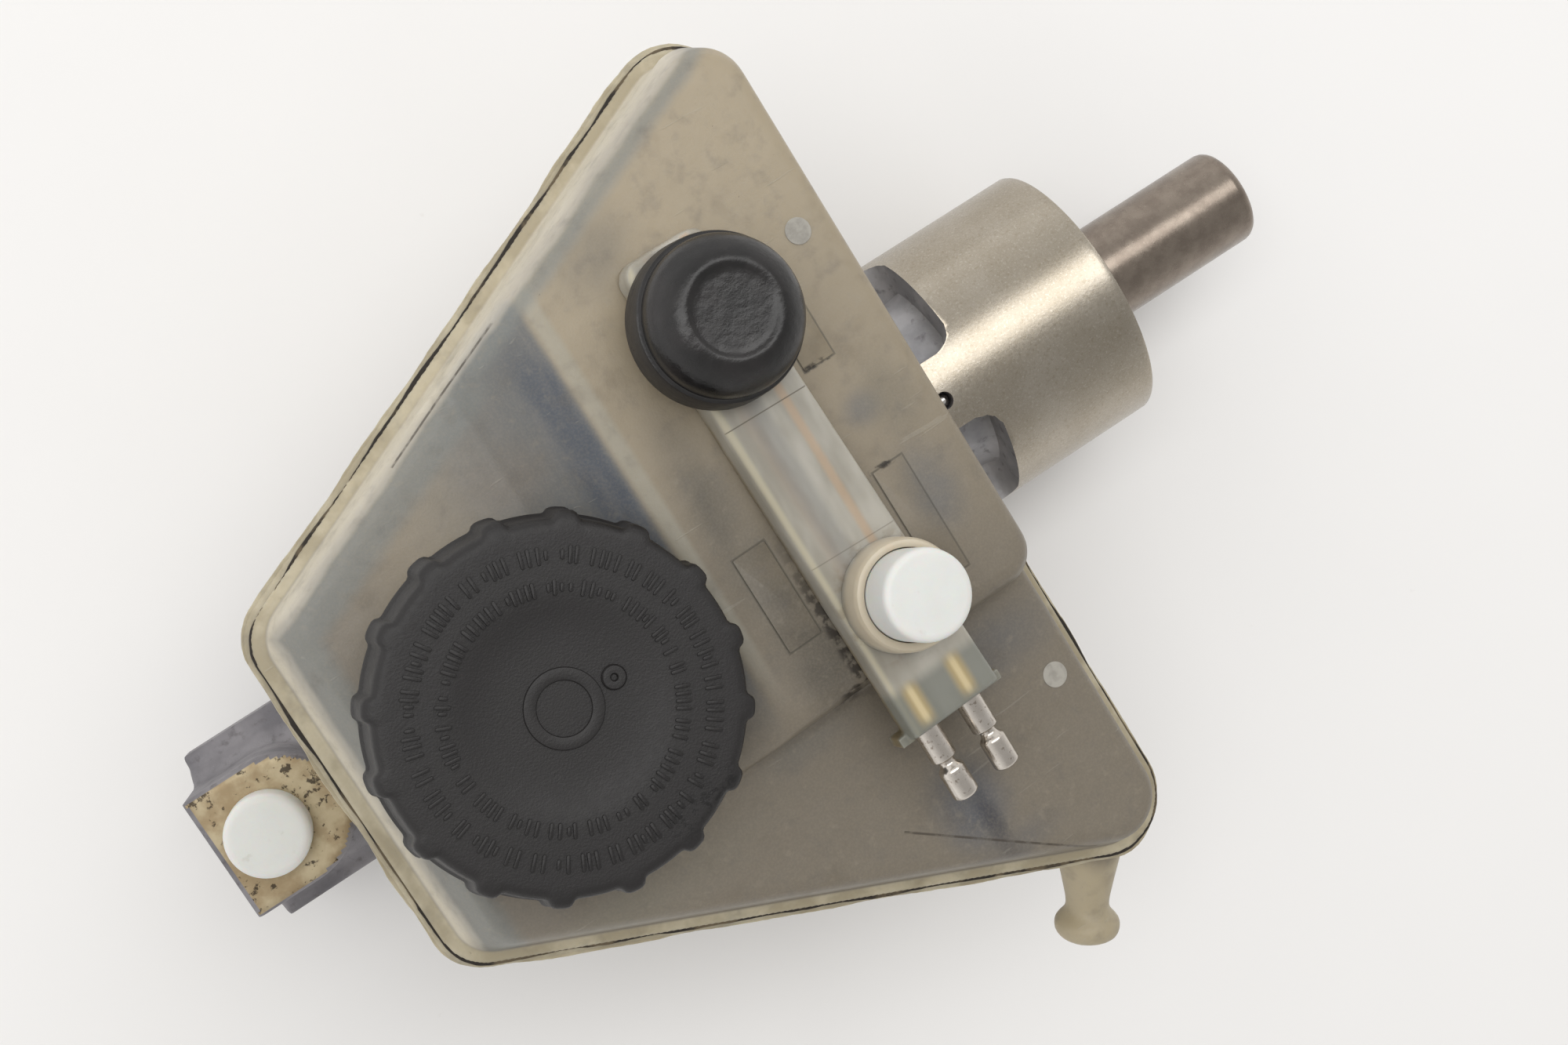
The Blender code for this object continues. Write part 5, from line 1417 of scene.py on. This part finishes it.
def socket(mats):
    """The second station: a plain collar with its transit plug."""
    base = BAR_TOP + GAP
    ring = [
        (0.0, 8.35), (0.0, 10.5), (0.4, 10.45), (4.8, 10.2), (5.7, 10.0), (6.2, 9.7), (6.35, 9.3),
        (6.35, 8.8), (6.2, 8.45), (5.8, 8.35),
    ]
    collar = turned("collar", ring, (*SOCKET_UV, base))
    settle(on_seam(collar), mats["bar"], "cylinder", "aged_nylon", "socket_collar")
    profile = [
        (0.4, 0.0), (0.4, 7.2), (1.2, 7.9), (2.4, 8.2), (14.2, 8.2), (15.0, 8.05), (15.5, 7.75),
        (15.75, 7.3), (15.8, 6.8), (15.8, 0.0),
    ]
    plug = turned("transit_plug_socket", profile, (*SOCKET_UV, base))
    settle(on_seam(plug), mats["white"], "socket_plug", "white_plastic", "socket_plug")


# ---------------------------------------------------------------- scene

def settle(piece, mat, body, slot, *nodes):
    """Finish a piece: its material, the body it rides on and the CAD it stands for; slot is not used."""
    paint(piece, mat)
    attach(piece, body)
    if nodes:
        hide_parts(*nodes)


def dress_cad(frame, mats):
    """Give every CAD node that stays its procedural material."""
    finishes = {
        "rubber": ("rear_seal", "primary_seal_front", "primary_seal_rear", "secondary_seal_front",
                   "secondary_seal_rear", "cap_diaphragm"),
        "spring": ("rear_circlip",),
        "steel": ("spring_hat", "retainer_screw", "secondary_spring_seat"),
        "brass": ("tube_seat_top", "tube_seat_side", "contact_rail_front", "contact_rail_rear"),
        "bronze": ("secondary_piston",),
        "white": ("strainer", "test_button", "level_guide_test", "level_guide_socket"),
        "black": ("level_float_test", "level_float_socket"),
    }
    for key, names in finishes.items():
        for name in names:
            node = frame["nodes"][name]
            for slot in node.material_slots:
                slot.material = mats[key]


def sky():
    """A world that grows lighter from one side to the other, as round a photographer's table."""
    world = bpy.data.worlds.new("studio")
    world.use_nodes = True
    tree = world.node_tree
    direction = tree.nodes.new("ShaderNodeTexCoord")
    facing = tree.nodes.new("ShaderNodeVectorMath")
    facing.operation = "DOT_PRODUCT"
    facing.inputs[1].default_value = SKY_BRIGHTENS
    share = tree.nodes.new("ShaderNodeMapRange")
    share.inputs["From Min"].default_value, share.inputs["From Max"].default_value = SKY_RANGE
    tones = tree.nodes.new("ShaderNodeValToRGB")
    for stop, tone in zip(tones.color_ramp.elements, (SKY_DARK, SKY_LIGHT)):
        stop.color = (*tone, 1.0)
    tree.links.new(direction.outputs["Generated"], facing.inputs[0])
    tree.links.new(facing.outputs["Value"], share.inputs["Value"])
    tree.links.new(share.outputs[0], tones.inputs[0])
    tree.links.new(tones.outputs[0], tree.nodes["Background"].inputs["Color"])
    tree.nodes["Background"].inputs["Strength"].default_value = 1.0
    bpy.context.scene.world = world


def add_softbox():
    """The long box light overhead, whose reflection runs along the barrel and the plunger."""
    data = bpy.data.lights.new("softbox", "AREA")
    data.shape = "RECTANGLE"
    data.size, data.size_y = SOFTBOX_SIZE
    data.energy = SOFTBOX_WATTS
    data.color = SOFTBOX_COLOUR
    softbox = bpy.data.objects.new("softbox", data)
    softbox.location = SOFTBOX_PLACE
    softbox.rotation_euler = (SOFTBOX_TILT, 0.0, 0.0)
    bpy.context.scene.collection.objects.link(softbox)


def add_camera():
    """Almost straight above the part, and turned so that the bore runs up to the right."""
    look = Vector(CAMERA_LOOK).normalized()
    right = Vector(CAMERA_RIGHT)
    right = (right - look * right.dot(look)).normalized()
    data = bpy.data.cameras.new("camera")
    data.lens = CAMERA_LENS
    data.sensor_width = 36.0
    data.clip_start = 0.01
    camera = bpy.data.objects.new("camera", data)
    matrix = Matrix((right, right.cross(look), -look)).transposed().to_4x4()
    matrix.translation = Vector(CAMERA_PLACE) * MM
    camera.matrix_world = matrix
    bpy.context.scene.collection.objects.link(camera)
    bpy.context.scene.camera = camera


def studio(low_z):
    """A plain pale floor under the part, the lights and the camera."""
    floor = box("floor", (-3000.0, -3000.0, low_z - 20.0), (3000.0, 3000.0, low_z))
    paint(floor, floor_finish())
    sky()
    add_softbox()
    add_camera()
    bpy.context.scene.view_settings.view_transform = "Standard"


def plain(bounds):
    return [[float(value) for value in corner] for corner in bounds]


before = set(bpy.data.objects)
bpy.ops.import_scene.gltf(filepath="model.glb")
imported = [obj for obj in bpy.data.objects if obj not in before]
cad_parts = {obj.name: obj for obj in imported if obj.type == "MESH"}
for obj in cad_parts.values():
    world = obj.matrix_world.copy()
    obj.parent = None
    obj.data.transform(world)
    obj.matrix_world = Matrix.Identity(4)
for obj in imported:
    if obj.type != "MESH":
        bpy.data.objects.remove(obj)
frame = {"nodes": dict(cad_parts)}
cad_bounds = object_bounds()
materials = make_materials()
dress_cad(frame, materials)
casting(materials)
small_casting_parts(materials)
outlet_plugs(materials)
plunger(materials)
springs(materials)
upper_shell(materials)
lower_shell(materials)
seam_flash(materials)
moulding_marks(materials)
filler_cap(materials)
contact_bar(materials)
terminal_pins(materials)
test_boot(materials)
socket(materials)
studio(plain(cad_bounds)[0][2] / MM)
